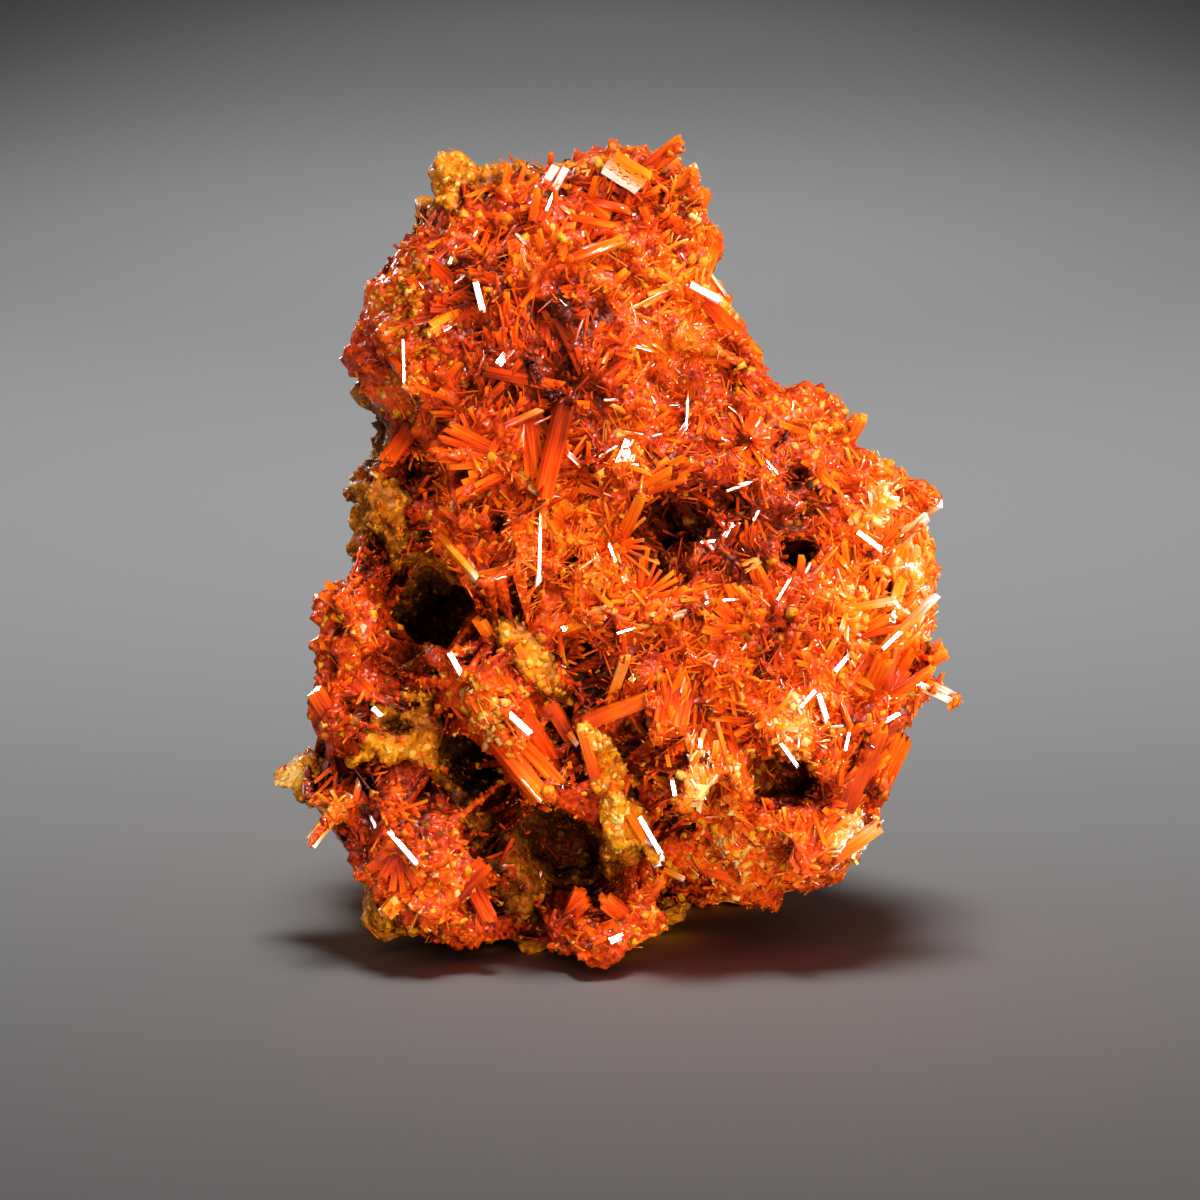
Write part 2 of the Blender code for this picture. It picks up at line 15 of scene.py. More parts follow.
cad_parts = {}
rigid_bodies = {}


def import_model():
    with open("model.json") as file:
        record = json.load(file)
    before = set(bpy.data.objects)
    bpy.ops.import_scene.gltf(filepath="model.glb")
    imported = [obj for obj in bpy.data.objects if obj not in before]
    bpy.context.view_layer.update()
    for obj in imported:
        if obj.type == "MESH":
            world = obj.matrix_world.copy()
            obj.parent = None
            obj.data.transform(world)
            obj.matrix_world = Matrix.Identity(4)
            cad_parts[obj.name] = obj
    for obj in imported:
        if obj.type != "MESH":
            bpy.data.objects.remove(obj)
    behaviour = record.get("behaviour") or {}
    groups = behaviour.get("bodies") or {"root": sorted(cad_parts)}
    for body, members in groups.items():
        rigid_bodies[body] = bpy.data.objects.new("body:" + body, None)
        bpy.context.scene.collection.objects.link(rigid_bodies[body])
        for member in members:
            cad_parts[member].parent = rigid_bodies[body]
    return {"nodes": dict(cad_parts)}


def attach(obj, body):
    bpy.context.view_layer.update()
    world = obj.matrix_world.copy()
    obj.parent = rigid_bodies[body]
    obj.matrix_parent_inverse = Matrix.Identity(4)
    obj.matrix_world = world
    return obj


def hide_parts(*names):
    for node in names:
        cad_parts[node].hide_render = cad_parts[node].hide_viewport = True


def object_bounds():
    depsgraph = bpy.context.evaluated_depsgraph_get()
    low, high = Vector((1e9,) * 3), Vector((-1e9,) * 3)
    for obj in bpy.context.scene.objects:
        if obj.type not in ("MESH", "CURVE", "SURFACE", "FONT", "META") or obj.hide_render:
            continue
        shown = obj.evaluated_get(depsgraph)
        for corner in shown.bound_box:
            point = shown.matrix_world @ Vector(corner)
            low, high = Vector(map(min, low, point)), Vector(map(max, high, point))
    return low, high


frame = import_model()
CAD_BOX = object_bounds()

MM = 0.001

# The face grid: 1200 columns and rows over the crystal face, seen from EYE, row 0 at the top.
GRID_SIDE = 1200
GRID_STEP = 0.11 * MM
VIEW_DISTANCE = 495 * MM
VIEW_RISE = math.radians(12)
GRID_CENTRE = Vector((-1.3, 0, 37)) * MM
RIGHT = Vector((1, 0, 0))
AWAY = Vector((0, math.cos(VIEW_RISE), -math.sin(VIEW_RISE)))
UP = RIGHT.cross(AWAY)
EYE = GRID_CENTRE - AWAY * VIEW_DISTANCE

# The CAD node of the rock, which the crystal nodes are seated on.
ROCK_NODE = "gossan_matrix"

# How far a piece may pass the CAD box, as a share of each side.
BOX_MARGIN = 0.02

# Beds: the size of their faces, the thinnest rock and crust that they keep, and the share of
# a bed below which a loose piece of it is a crumb.
BED_STEP = 0.6 * MM
THINNEST_ROCK = 1.3 * MM
THINNEST_CRUST = 0.9 * MM
CRUMB_SHARE = 0.1
# The most that a bed's thickness is measured to, and where a point starts to look for open
# sky and how far it looks.
THICKEST = 20 * MM
SKY_START = 0.3 * MM
SKY_REACH = 7 * MM
# How a crystal bed seats itself: how far it looks for the rock, how far on its hidden side,
# how deep it goes in, and how open its seam is taken to be, which sets its painted shade.
SEAT_REACH = 3.0 * MM
HIDDEN_REACH = 8.0 * MM
SEAT_DEPTH = 0.4 * MM
SEAT_OPEN = 0.6
# How far a point has to face away from the eye to count as hidden.
HIDDEN_FACING = 0.3
# How far wear may move a thin part and a thick one, as shares of the thickness, and where a
# part starts to count as thick.
THIN_WEAR = 0.1
THICK_WEAR = 0.4
THICK_FROM = 1.0 * MM

# Hues shift by how far a place's openness lies from the first of these, as painted shade in
# hollows and painted light in open places, and by its place along its crystal from the
# second, as painted shade at roots and painted light at tips.
MIDDLE_OPEN = 0.75
MIDDLE_ALONG = 0.55
# From this hue on a lath is pale, and it is the slimmer of the two. Every lath is a little
# darker than its own hue says.
PALE_HUE = 0.75
LATH_SLIM = 0.8
PALE_SLIM = 0.6
LATH_DARKER = 0.05
# The share of its lift that a lath's tip gets, how deep its root lies, how far behind its
# root the face may be for its tip to follow it, the width of one strand in millimetres, and
# how much of that is left at its tip.
LATH_LIFT = 0.35
LATH_ROOT = 1.2 * MM
LATH_FOLLOWS = 4 * MM
STRAND_WIDTH = 0.7
STRAND_TAPER = 0.93
# Bright faces: how wide a strand is for each millimetre of width given, its hue, and how far
# either side of the middle the two strands lie in strand widths.
BRIGHT_WIDTH = 0.20
BRIGHT_HUE = 0.86
BRIGHT_SIDES = (-0.6, 0.6)

# The lamps on the specimen: the way to each from its middle (how far right, up and towards
# the eye), its distance in metres, its size in metres, its power in watts, its colour, and
# whether it shows as glints.
SPECIMEN_MIDDLE = Vector((0, 0, 45)) * MM
LAMPS = (
    ("key", (0.56, 0.62, 0.55), 0.50, (0.07, 0.07), 1.15, (1.0, 0.96, 0.90), True),
    ("top", (-0.10, 0.80, 0.60), 0.55, (0.08, 0.08), 0.55, (1.0, 0.98, 0.95), True),
    ("fill", (-0.80, 0.10, 0.60), 0.60, (0.20, 0.30), 0.25, (1.0, 1.0, 1.0), False),
    ("low", (0.35, -0.17, 0.90), 0.50, (0.24, 0.05), 1.05, (1.0, 0.98, 0.95), False),
    ("edge", (0.95, 0.20, 0.05), 0.45, (0.06, 0.12), 0.22, (1.0, 0.95, 0.88), True),
    ("back", (-0.50, 0.50, -0.85), 0.60, (0.12, 0.12), 0.8, (1.0, 0.97, 0.93), True),
    ("spark_left", (-0.45, 0.45, 0.77), 0.50, (0.02, 0.02), 0.09, (1.0, 1.0, 1.0), True),
)
# The pools of light on the paper: where the lamp stands and where it points in metres, its
# beam in degrees and its power in watts. The places, aims and beams are rounded from a fit
# made by another program, and the powers are chosen by hand.
POOLS = (
    ("pool_near", (0.0, -0.06, 1.09), (0.0, 0.35, 0.0), 53, 42.0),
    ("pool_far", (0.0, 0.14, 0.40), (0.0, 1.10, 0.0), 22, 66.0),
)
POOL_LAMP_RADIUS = 0.22
LAMP_BEAM = math.radians(120)
AIR_GLOW = 0.05
PAPER_GREY = 0.45

# How the beds are worn.
ROCK_WEAR = {
    "Swell": 7 * MM, "Swell Size": 7 * MM, "Swell Middle": 0.53,
    "Lump": 2.4 * MM, "Lump Size": 2.6 * MM, "Grain": 1.0 * MM, "Grain Size": 1.2 * MM,
}
CRUST_WEAR = {
    "Swell": 8 * MM, "Swell Size": 6 * MM, "Swell Middle": 0.60,
    "Lump": 2.8 * MM, "Lump Size": 2.2 * MM, "Grain": 1.0 * MM, "Grain Size": 1.2 * MM,
}

# Kinds of growth: how many stand on a square millimetre where a bed's share is 1, their
# lengths and widths in millimetres, their rise off the surface and their stray in degrees,
# the size of their fans, how deep their roots sit and how far their tips may stand off every
# bed in millimetres (0 is no limit), and how their hue shifts and strays.
KINDS = {
    "laths": {
        "forms": "blades", "on_mm2": 0.50, "length": (1.4, 4.4), "width": (0.22, 0.62),
        "rise": (-14, 8), "stray": 26, "fan": 4.5, "sink": 0.15, "stand": 0.8,
        "hue": (0.0, 0.08), "slot": "crocoite", "seed": 11,
    },
    "needles": {
        "forms": "needles", "on_mm2": 1.35, "length": (1.0, 3.0), "width": (0.10, 0.26),
        "rise": (-10, 24), "stray": 30, "fan": 3.0, "sink": 0.0, "stand": 0.8,
        "hue": (0.05, 0.10), "slot": "crocoite", "seed": 23,
    },
    "druse": {
        "forms": "flakes", "on_mm2": 1.5, "length": (0.6, 1.6), "width": (0.40, 1.10),
        "rise": (10, 90), "stray": 180, "fan": 3.0, "sink": 0.25, "stand": 0,
        "hue": (0.02, 0.09), "slot": "crocoite", "seed": 37,
    },
    "grains": {
        "forms": "shards", "on_mm2": 1.05, "length": (0.4, 1.3), "width": (0.40, 1.10),
        "rise": (10, 90), "stray": 180, "fan": 3.0, "sink": 0.15, "stand": 0,
        "hue": (0.12, 0.16), "slot": "gossan", "seed": 51,
    },
}

# Dents and fills fade out this far behind the face, and no fill is deeper than the last.
DENT_BEHIND = 14 * MM
FILL_BEHIND = 16 * MM
DEEPEST_FILL = 12 * MM
# Where each kind of change has faded out, and over how far it fades, as shares of its oval.
DENT_EDGE = (1.25, 0.6)
FILL_EDGE = (1.25, 0.5)
OUTLINE_EDGE = (1.3, 0.8)

# Hollows of the face: column, row, reach along and across, lean in degrees, and depth in
# millimetres. Another program found 19 of these 23 places, with their reaches and most of
# their leans. The depths are chosen one by one, and so are valley, valley_foot, purple_hollow
# and crown_slot. A table like this one would better be chosen by hand throughout.
DENTS = {
    "vug": (424, 614, 50, 38, 150, 1.0),
    "valley": (490, 775, 70, 24, -52, 3.0),
    "valley_foot": (570, 862, 62, 34, -50, 6.0),
    "centre_hollow": (657, 543, 50, 32, -99, 5.0),
    "flank_hollow": (421, 474, 24, 21, 150, 3.0),
    "ochre_pocket": (796, 780, 33, 13, 147, 4.5),
    "pin_hole": (797, 550, 17, 15, 0, 6.0),
    "foot_gap": (607, 869, 30, 17, 138, 4.0),
    "vug_shoulder": (376, 550, 20, 10, -72, 3.0),
    "lobe_pit": (355, 707, 14, 9, 153, 2.5),
    "spine_gap": (640, 796, 18, 7, 153, 3.0),
    "spur_gap": (317, 813, 18, 7, -46, 2.5),
    "upper_right_gap": (795, 479, 10, 8, 36, 3.0),
    "needle_gap": (735, 502, 17, 7, 146, 3.0),
    "slope_gap": (398, 726, 16, 7, 168, 2.5),
    "left_gap": (500, 523, 10, 8, 65, 2.5),
    "rosette_gap": (572, 560, 11, 7, 61, 2.5),
    "lower_gap": (681, 579, 12, 8, 7, 2.5),
    "purple_hollow": (545, 322, 22, 10, -60, 3.0),
    "blade_gap": (525, 419, 10, 7, -4, 2.0),
    "flank_notch": (369, 410, 14, 10, -61, 1.5),
    "crown_gap": (564, 190, 9, 7, 46, 2.0),
    "crown_slot": (502, 263, 10, 7, 40, 2.5),
}

# Places filled out: an oval as above, then the column and row of the place whose level it
# comes up to, and how far behind that level it stays in millimetres.
FILLS = {
    "by_the_ridge": (530, 655, 60, 26, -52, 478, 700, 1.5),
    "under_ledge": (596, 690, 46, 30, -60, 600, 740, 1.0),
    "crown_right": (684, 204, 30, 26, 60, 668, 240, 0.0),
}

# Where the outline is fitted: an oval as above, and how far the bed moves out in millimetres.
OUTLINE = {
    "crown_left": (550, 142, 34, 20, 0, -1.6),
    "crown_corner": (704, 150, 24, 40, 0, -1.2),
    "neck": (785, 368, 28, 24, 0, -1.5),
    "shoulder_bump": (866, 417, 18, 26, 0, -1.0),
    "right_top": (932, 478, 40, 32, 0, -0.5),
    "right_side": (945, 640, 14, 60, 0, -1.0),
    "right_low": (908, 757, 24, 44, 0, -1.6),
    "foot_left": (350, 880, 20, 40, 0, -1.4),
    "lobe_top": (322, 580, 26, 20, 0, -1.3),
    "base": (475, 935, 60, 20, 0, -1.2),
    "knob_top": (455, 155, 42, 20, 0, 1.4),
    "knob_side": (422, 195, 14, 30, 0, 1.2),
    "upper_left": (358, 270, 14, 26, 0, 0.7),
    "flank": (358, 425, 14, 36, 0, 1.6),
    "flank_low": (348, 497, 12, 20, 0, 0.8),
    "spur": (292, 785, 26, 28, 0, 2.0),
    "lobe_side": (310, 660, 10, 40, 0, 0.5),
    "foot_base": (383, 930, 28, 16, 0, 1.0),
    "lower_right": (830, 872, 56, 24, 0, 1.4),
    "shoulder_dip": (841, 405, 16, 12, 0, 0.8),
}

# What grows on a bed where nothing else is said: a crust of small crystals, the tangle on
# the main mass, or bare rock. The hue runs from maroon (0) through red
# and orange to pale peach (1) on crystals, and from black brown to pale ochre on rock.
# Flow is the angle that crystals lie along on the face, spread how far they fan out from it
# (180 is wholly), and coarse how large they are.
CRUST_GROWTH = {
    "hue": 0.50, "laths": 0.35, "needles": 0.25, "druse": 1.3, "grains": 0.3, "coarse": 1.0,
    "flow": 60, "spread": 180,
}
TANGLE_GROWTH = {
    **CRUST_GROWTH, "hue": 0.52, "laths": 1.0, "needles": 0.9, "druse": 0.8, "grains": 0.12,
    "coarse": 1.1,
}
ROCK_GROWTH = {
    **CRUST_GROWTH, "hue": 0.46, "laths": 0.04, "needles": 0.03, "druse": 0.16, "grains": 1.0,
}

# Places on the face where the growth differs: column, row, reach across, reach up, changes.
PLACES = {
    "crown_crust": (605, 150, 80, 26, dict(hue=0.55, grains=0.6, needles=0.2, laths=0.5)),
    "crown_right": (690, 205, 34, 60, dict(hue=0.64, coarse=1.3, flow=55, spread=60)),
    "crown_laths": (570, 205, 90, 46, dict(hue=0.42, coarse=1.8, druse=0.8, spread=120,
        needles=0.25, laths=0.9)),
    "upper_left_crust": (392, 320, 50, 90, dict(hue=0.58, grains=1.4, laths=0.2, coarse=0.8,
        needles=0.3, druse=1.3)),
    "pink_left_edge": (360, 350, 22, 40, dict(hue=0.44, grains=0.2, druse=1.4, coarse=0.7)),
    "upper_sprays": (460, 285, 60, 36, dict(hue=0.30, laths=1.2, flow=165, spread=60, coarse=1.3,
        druse=0.3)),
    "deep_red_blades": (530, 380, 90, 70, dict(hue=0.36, grains=0.0, flow=95, spread=50,
        coarse=1.4, druse=0.4, needles=0.5)),
    "purple_hollow": (566, 318, 34, 26, dict(hue=0.18, grains=0.0, needles=0.4)),
    "red_middle": (520, 460, 90, 50, dict(hue=0.46, flow=20, spread=90, coarse=1.3)),
    "lit_shoulder": (700, 300, 50, 50, dict(hue=0.60, grains=0.5, coarse=1.4)),
    "tan_felt": (682, 352, 46, 34, dict(hue=0.66, laths=0.2, needles=2.2, druse=0.6, coarse=0.6)),
    "needle_felt": (745, 450, 46, 36, dict(hue=0.54, laths=0.3, needles=2.0, druse=0.4,
        coarse=0.8)),
    "orange_rosette": (570, 530, 60, 50, dict(hue=0.62, grains=0.3, needles=1.4)),
    # A low hue in this hollow: partly the deep red of its laths, partly painted shade.
    "dark_hollow": (720, 525, 110, 62, dict(hue=0.30, laths=0.9, flow=30, spread=120, coarse=1.3,
        druse=0.5)),
    "shoulder_crust": (820, 410, 45, 40, dict(hue=0.56, grains=0.7, laths=0.4, needles=0.3)),
    "bright_right": (890, 590, 56, 110, dict(hue=0.72, laths=1.5, needles=1.0, flow=48, spread=70,
        coarse=1.6)),
    "lower_band": (640, 620, 110, 50, dict(hue=0.54, needles=1.4, flow=30, spread=100)),
    "red_seam": (760, 620, 60, 26, dict(hue=0.42, coarse=1.4)),
    "pale_tangle": (800, 716, 40, 24, dict(hue=0.80, needles=1.8, laths=1.0, flow=35)),
    "ochre_pocket": (780, 772, 34, 24, dict(hue=0.56, grains=1.4, laths=0.2)),
    "red_prisms": (866, 760, 44, 56, dict(hue=0.44, flow=68, spread=24, coarse=1.4, druse=0.4,
        needles=0.4)),
    "striated_blades": (706, 768, 44, 50, dict(hue=0.80, flow=92, spread=20, coarse=1.3,
        druse=0.5)),
    "red_block": (676, 706, 34, 34, dict(hue=0.42, flow=85, spread=20, coarse=1.3, druse=0.4)),
    "lower_crust": (700, 862, 90, 32, dict(hue=0.66, grains=0.7, laths=0.5, needles=0.3,
        druse=1.2)),
    "right_foot_end": (862, 838, 32, 30, dict(hue=1.00, grains=0.9, druse=1.2)),
    "lobe": (335, 620, 30, 60, dict(hue=0.48, flow=20, spread=90)),
    "lobe_foot": (330, 720, 30, 40, dict(hue=0.44)),
    "ridge": (500, 720, 60, 80, dict(hue=0.58, laths=0.6, needles=0.1, grains=0.9, flow=-52,
        spread=18, coarse=1.2)),
    "foot_reds": (385, 820, 50, 40, dict(hue=0.34, laths=1.0, grains=0.1, flow=-30, spread=90,
        coarse=1.3, druse=0.7)),
    "foot_pale": (328, 806, 26, 18, dict(hue=0.80)),
    "foot_crust": (420, 890, 80, 40, dict(hue=0.56, grains=0.5, coarse=0.9)),
    "toe_slab": (585, 930, 60, 30, dict(hue=0.40, laths=0.7, flow=10, spread=60, coarse=1.2)),
}
ROCK_PLACES = {
    "knob_top": (455, 182, 36, 36, dict(hue=0.52, grains=1.3, druse=0.5, coarse=0.8)),
    "flank": (368, 470, 34, 90, dict(hue=0.40, grains=1.2)),
    "notch": (372, 432, 20, 26, dict(hue=0.30, grains=0.5)),
    "vug_walls": (428, 612, 55, 42, dict(hue=0.40, grains=1.4, druse=0.3)),
    "granular_slope": (388, 690, 52, 44, dict(hue=0.50, grains=1.5, coarse=0.8)),
    "foot_slope": (370, 770, 60, 36, dict(hue=0.60, grains=1.3, druse=0.8)),
    "valley_floor": (520, 800, 60, 90, dict(hue=0.34, grains=0.8, druse=0.9)),
    "maroon_druse": (520, 850, 50, 50, dict(hue=0.36, grains=0.2, druse=2.2, laths=0.5)),
    "golden_spine": (606, 780, 46, 110, dict(hue=0.62, grains=1.3, druse=1.2)),
    "under_ledge_rock": (590, 680, 40, 30, dict(hue=0.24, laths=0.5)),
    "spur_tip": (285, 775, 26, 18, dict(hue=0.80, grains=1.2)),
}

# Single crystals on the face grid: root column and row, tip column and row, lift of the tip
# in millimetres, width and thickness in millimetres, and hue.
LATHS = (
    (529, 212, 556, 166, 2.6, 1.5, 1.0, 0.98),
    (543, 212, 566, 168, 1.6, 1.2, 1.0, 0.98),
    (490, 212, 596, 211, 3.0, 1.8, 1.5, 0.44),
    (664, 212, 699, 166, 2.6, 2.0, 1.4, 0.56),
    (684, 236, 708, 186, 1.8, 2.2, 1.5, 0.54),
    (552, 266, 624, 240, 1.6, 1.3, 1.2, 0.62),
    (516, 284, 566, 232, 1.6, 1.9, 1.3, 0.60),
    (474, 306, 402, 284, 1.6, 1.3, 1.2, 0.30),
    (474, 306, 428, 262, 2.0, 2.0, 1.3, 0.34),
    (470, 308, 424, 334, 2.2, 2.2, 1.4, 0.74),
    (480, 300, 412, 352, 1.4, 1.8, 1.4, 0.44),
    (476, 318, 490, 286, 2.4, 1.4, 1.2, 0.60),
    (520, 304, 470, 376, 1.8, 2.6, 1.5, 0.42),
    (522, 300, 536, 392, 2.0, 2.6, 1.3, 0.36),
    (560, 318, 586, 372, 1.8, 2.2, 1.6, 0.38),
    (478, 370, 566, 388, 1.8, 1.6, 1.2, 0.46),
    (486, 402, 590, 406, 2.2, 1.2, 1.1, 0.48),
    (646, 316, 750, 368, 2.4, 2.8, 1.8, 0.42),
    (698, 292, 766, 366, 1.4, 2.0, 1.6, 0.52),
    (690, 286, 724, 304, 1.8, 2.0, 1.3, 0.82),
    (566, 400, 540, 506, 2.2, 2.4, 1.6, 0.40),
    (522, 398, 506, 486, 1.8, 2.6, 1.6, 0.34),
    (604, 398, 590, 476, 2.2, 2.2, 1.5, 0.44),
    (648, 402, 618, 470, 2.0, 1.9, 1.4, 0.50),
    (632, 424, 648, 404, 2.6, 2.0, 1.8, 0.50),
    (758, 392, 747, 438, 2.2, 1.6, 1.3, 0.50),
    (604, 506, 696, 460, 2.6, 2.6, 1.7, 0.58),
    (596, 492, 668, 474, 1.8, 1.6, 1.2, 0.62),
    (618, 548, 642, 494, 2.8, 1.2, 1.1, 0.60),
    (614, 544, 596, 590, 2.6, 1.2, 1.1, 0.62),
    (610, 540, 626, 582, 3.0, 1.1, 1.1, 0.85),
    (542, 512, 538, 588, 3.0, 1.2, 1.1, 0.85),
    (546, 544, 478, 594, 2.2, 1.7, 1.3, 0.62),
    (552, 560, 474, 578, 1.6, 1.5, 1.2, 0.60),
    (426, 520, 480, 582, 2.0, 1.3, 1.2, 0.80),
    (520, 462, 418, 452, 1.8, 1.8, 1.3, 0.48),
    (516, 466, 452, 500, 1.8, 1.8, 1.4, 0.50),
    (516, 460, 446, 424, 1.8, 1.6, 1.2, 0.46),
    (412, 428, 382, 468, 1.8, 2.4, 1.6, 0.46),
    (794, 446, 838, 494, 2.0, 1.5, 1.2, 0.62),
    (760, 470, 708, 430, 1.8, 1.3, 1.2, 0.62),
    (880, 458, 922, 488, 1.4, 2.4, 1.6, 0.56),
    (922, 514, 940, 502, 1.0, 1.8, 1.6, 0.96),
    (888, 552, 928, 516, 2.6, 1.7, 1.2, 0.94),
    (860, 530, 886, 556, 2.4, 1.5, 1.1, 0.94),
    (908, 556, 892, 612, 2.2, 2.2, 1.4, 0.80),
    (886, 646, 938, 594, 3.0, 1.4, 1.1, 0.94),
    (840, 610, 898, 600, 2.2, 1.5, 1.2, 0.84),
    (776, 668, 806, 612, 2.4, 1.5, 1.2, 0.70),
    (840, 676, 908, 636, 2.2, 1.8, 1.4, 0.58),
    (866, 700, 888, 652, 2.4, 2.4, 1.5, 0.60),
    (912, 680, 956, 700, 1.2, 2.6, 2.2, 0.92),
    (914, 668, 950, 648, 1.0, 2.2, 1.6, 0.66),
    (838, 806, 874, 722, 3.4, 4.6, 2.6, 0.54),
    (864, 808, 902, 730, 2.0, 4.2, 2.6, 0.52),
    (758, 754, 846, 732, 1.8, 1.8, 1.5, 0.66),
    (706, 732, 690, 812, 2.4, 4.2, 2.0, 0.78),
    (724, 730, 744, 790, 2.4, 2.4, 1.7, 0.50),
    (678, 676, 668, 736, 2.4, 4.8, 2.4, 0.42),
    (634, 690, 660, 650, 3.0, 1.8, 1.3, 0.90),
    (608, 708, 626, 656, 3.0, 1.4, 1.2, 0.74),
    (624, 630, 688, 612, 3.2, 1.1, 1.1, 0.90),
    (560, 630, 610, 610, 2.4, 2.4, 1.3, 0.84),
    (580, 724, 664, 692, 1.2, 2.0, 1.6, 0.60),
    (700, 590, 760, 560, 2.2, 1.3, 1.2, 0.66),
    (734, 640, 690, 604, 2.2, 1.5, 1.2, 0.66),
    (712, 700, 780, 664, 2.2, 1.8, 1.3, 0.60),
    (760, 842, 716, 800, 1.6, 2.0, 1.5, 0.50),
    (812, 822, 796, 876, 1.2, 2.8, 1.8, 0.48),
    (836, 856, 884, 822, 1.2, 2.4, 2.0, 0.82),
    (700, 862, 756, 886, 1.2, 2.2, 1.8, 0.56),
    (820, 392, 790, 430, 1.4, 2.2, 1.8, 0.56),
    (846, 440, 862, 414, 1.0, 2.0, 1.8, 0.60),
    (410, 240, 436, 272, 1.4, 1.8, 1.4, 0.60),
    (372, 330, 404, 372, 1.4, 1.6, 1.4, 0.46),
    (648, 170, 684, 140, 1.2, 2.2, 1.8, 0.60),
    (716, 240, 702, 280, 1.6, 1.8, 1.4, 0.66),
    (356, 614, 320, 586, 1.2, 2.4, 1.6, 0.52),
    (330, 612, 364, 630, 2.2, 1.6, 1.2, 0.90),
    (352, 650, 318, 640, 1.4, 2.0, 1.6, 0.56),
    (346, 672, 372, 696, 1.6, 2.2, 1.4, 0.44),
    (332, 720, 314, 690, 1.2, 2.0, 1.6, 0.50),
    (352, 570, 338, 608, 1.6, 2.0, 1.6, 0.56),
    (506, 756, 444, 652, 2.0, 2.2, 1.8, 0.58),
    (530, 762, 472, 668, 3.0, 2.0, 1.6, 0.54),
    (556, 764, 500, 672, 3.2, 1.8, 1.5, 0.58),
    (496, 742, 546, 802, 2.2, 2.4, 1.9, 0.60),
    (520, 740, 562, 786, 1.4, 1.9, 1.6, 0.58),
    (546, 722, 470, 604, 2.0, 1.9, 1.6, 0.52),
    (576, 744, 510, 640, 1.4, 2.0, 1.6, 0.56),
    (344, 792, 408, 826, 2.4, 2.6, 1.6, 0.50),
    (360, 840, 402, 792, 1.8, 2.4, 1.8, 0.46),
    (386, 830, 424, 876, 2.8, 1.7, 1.3, 0.60),
    (370, 876, 398, 834, 2.0, 2.0, 1.4, 0.46),
    (420, 886, 436, 840, 1.6, 2.4, 1.7, 0.46),
    (334, 812, 308, 846, 1.0, 2.4, 1.6, 0.90),
    (456, 894, 486, 862, 1.4, 2.6, 1.9, 0.38),
    (470, 882, 492, 924, 1.4, 2.2, 1.8, 0.40),
    (400, 896, 382, 918, 1.0, 2.0, 1.7, 0.62),
    (440, 930, 414, 896, 1.2, 2.2, 1.8, 0.60),
    (560, 900, 596, 950, 1.4, 3.2, 2.2, 0.46),
    (584, 940, 618, 928, 1.2, 2.4, 1.8, 0.50),
    (540, 930, 578, 914, 1.2, 2.2, 1.7, 0.46),
    (640, 900, 664, 872, 1.8, 2.2, 1.6, 0.60),
    (636, 924, 600, 896, 1.0, 2.4, 1.8, 0.50),
    (632, 812, 662, 868, 2.0, 2.4, 1.2, 1.05),
    (600, 792, 582, 728, 2.2, 1.5, 1.3, 0.62),
    (614, 790, 646, 842, 1.2, 1.3, 1.2, 0.62),
    (632, 760, 606, 836, 1.6, 1.6, 1.3, 0.60),
)

# Crystals that radiate from one point: column and row, first and last angle in degrees from
# the right, shortest and longest in millimetres, count, width in millimetres, hue, lift.
FANS = {
    "purple_fan": (476, 308, 128, 215, 3.5, 7.8, 14, 1.1, 0.28, 1.4),
    "crown_fan": (520, 300, 40, 120, 3.0, 7.0, 10, 1.2, 0.52, 1.6),
    "deep_red_fan": (524, 392, 232, 305, 5.0, 10.0, 11, 1.2, 0.40, 1.2),
    "upper_blades": (540, 304, 230, 300, 4.0, 9.0, 9, 1.3, 0.38, 1.2),
    "middle_fan": (518, 463, 150, 220, 4.0, 9.5, 9, 0.7, 0.44, 1.0),
    "orange_bundle": (600, 508, 16, 40, 6.0, 11.0, 7, 1.2, 0.56, 2.0),
    "rosette": (570, 522, 0, 360, 1.8, 2.8, 18, 0.8, 0.62, 2.4),
    "needle_spray": (614, 545, 0, 360, 2.2, 5.5, 24, 0.34, 0.62, 4.0),
    "low_spray": (640, 600, 20, 200, 2.5, 6.0, 14, 0.5, 0.60, 3.0),
    "felt_spray": (748, 440, 0, 360, 1.8, 4.0, 16, 0.4, 0.58, 2.6),
    "right_fan": (872, 560, 20, 110, 3.0, 7.0, 9, 0.7, 0.60, 1.8),
    "right_fan_low": (846, 640, 10, 80, 4.0, 8.0, 10, 0.8, 0.58, 1.8),
    "lower_right_fan": (884, 700, 30, 130, 3.0, 7.0, 8, 1.1, 0.58, 1.8),
    "foot_fan": (366, 846, 10, 95, 3.0, 6.5, 9, 1.0, 0.44, 2.0),
    "foot_fan_low": (398, 850, 200, 320, 2.5, 5.0, 7, 0.9, 0.46, 1.6),
    "toe_fan": (566, 920, 10, 70, 2.5, 5.0, 6, 1.1, 0.46, 1.4),
    "seam_fan": (752, 640, 60, 170, 3.0, 7.0, 9, 1.0, 0.52, 1.8),
}

# The crown's plate: its near corner, the corner along from it and the one down from it, and
# its middle, as columns and rows; its thickness, how many pits it has and their depth, and
# how many faces it has along each side.
PLATE_CORNERS = ((601, 173), (635, 194), (616, 157))
PLATE_MIDDLE = (622, 176)
PLATE_THICKNESS = 1.6 * MM
PLATE_PITS = 26
PIT_DEPTH = 0.5 * MM
PLATE_CELLS = 44

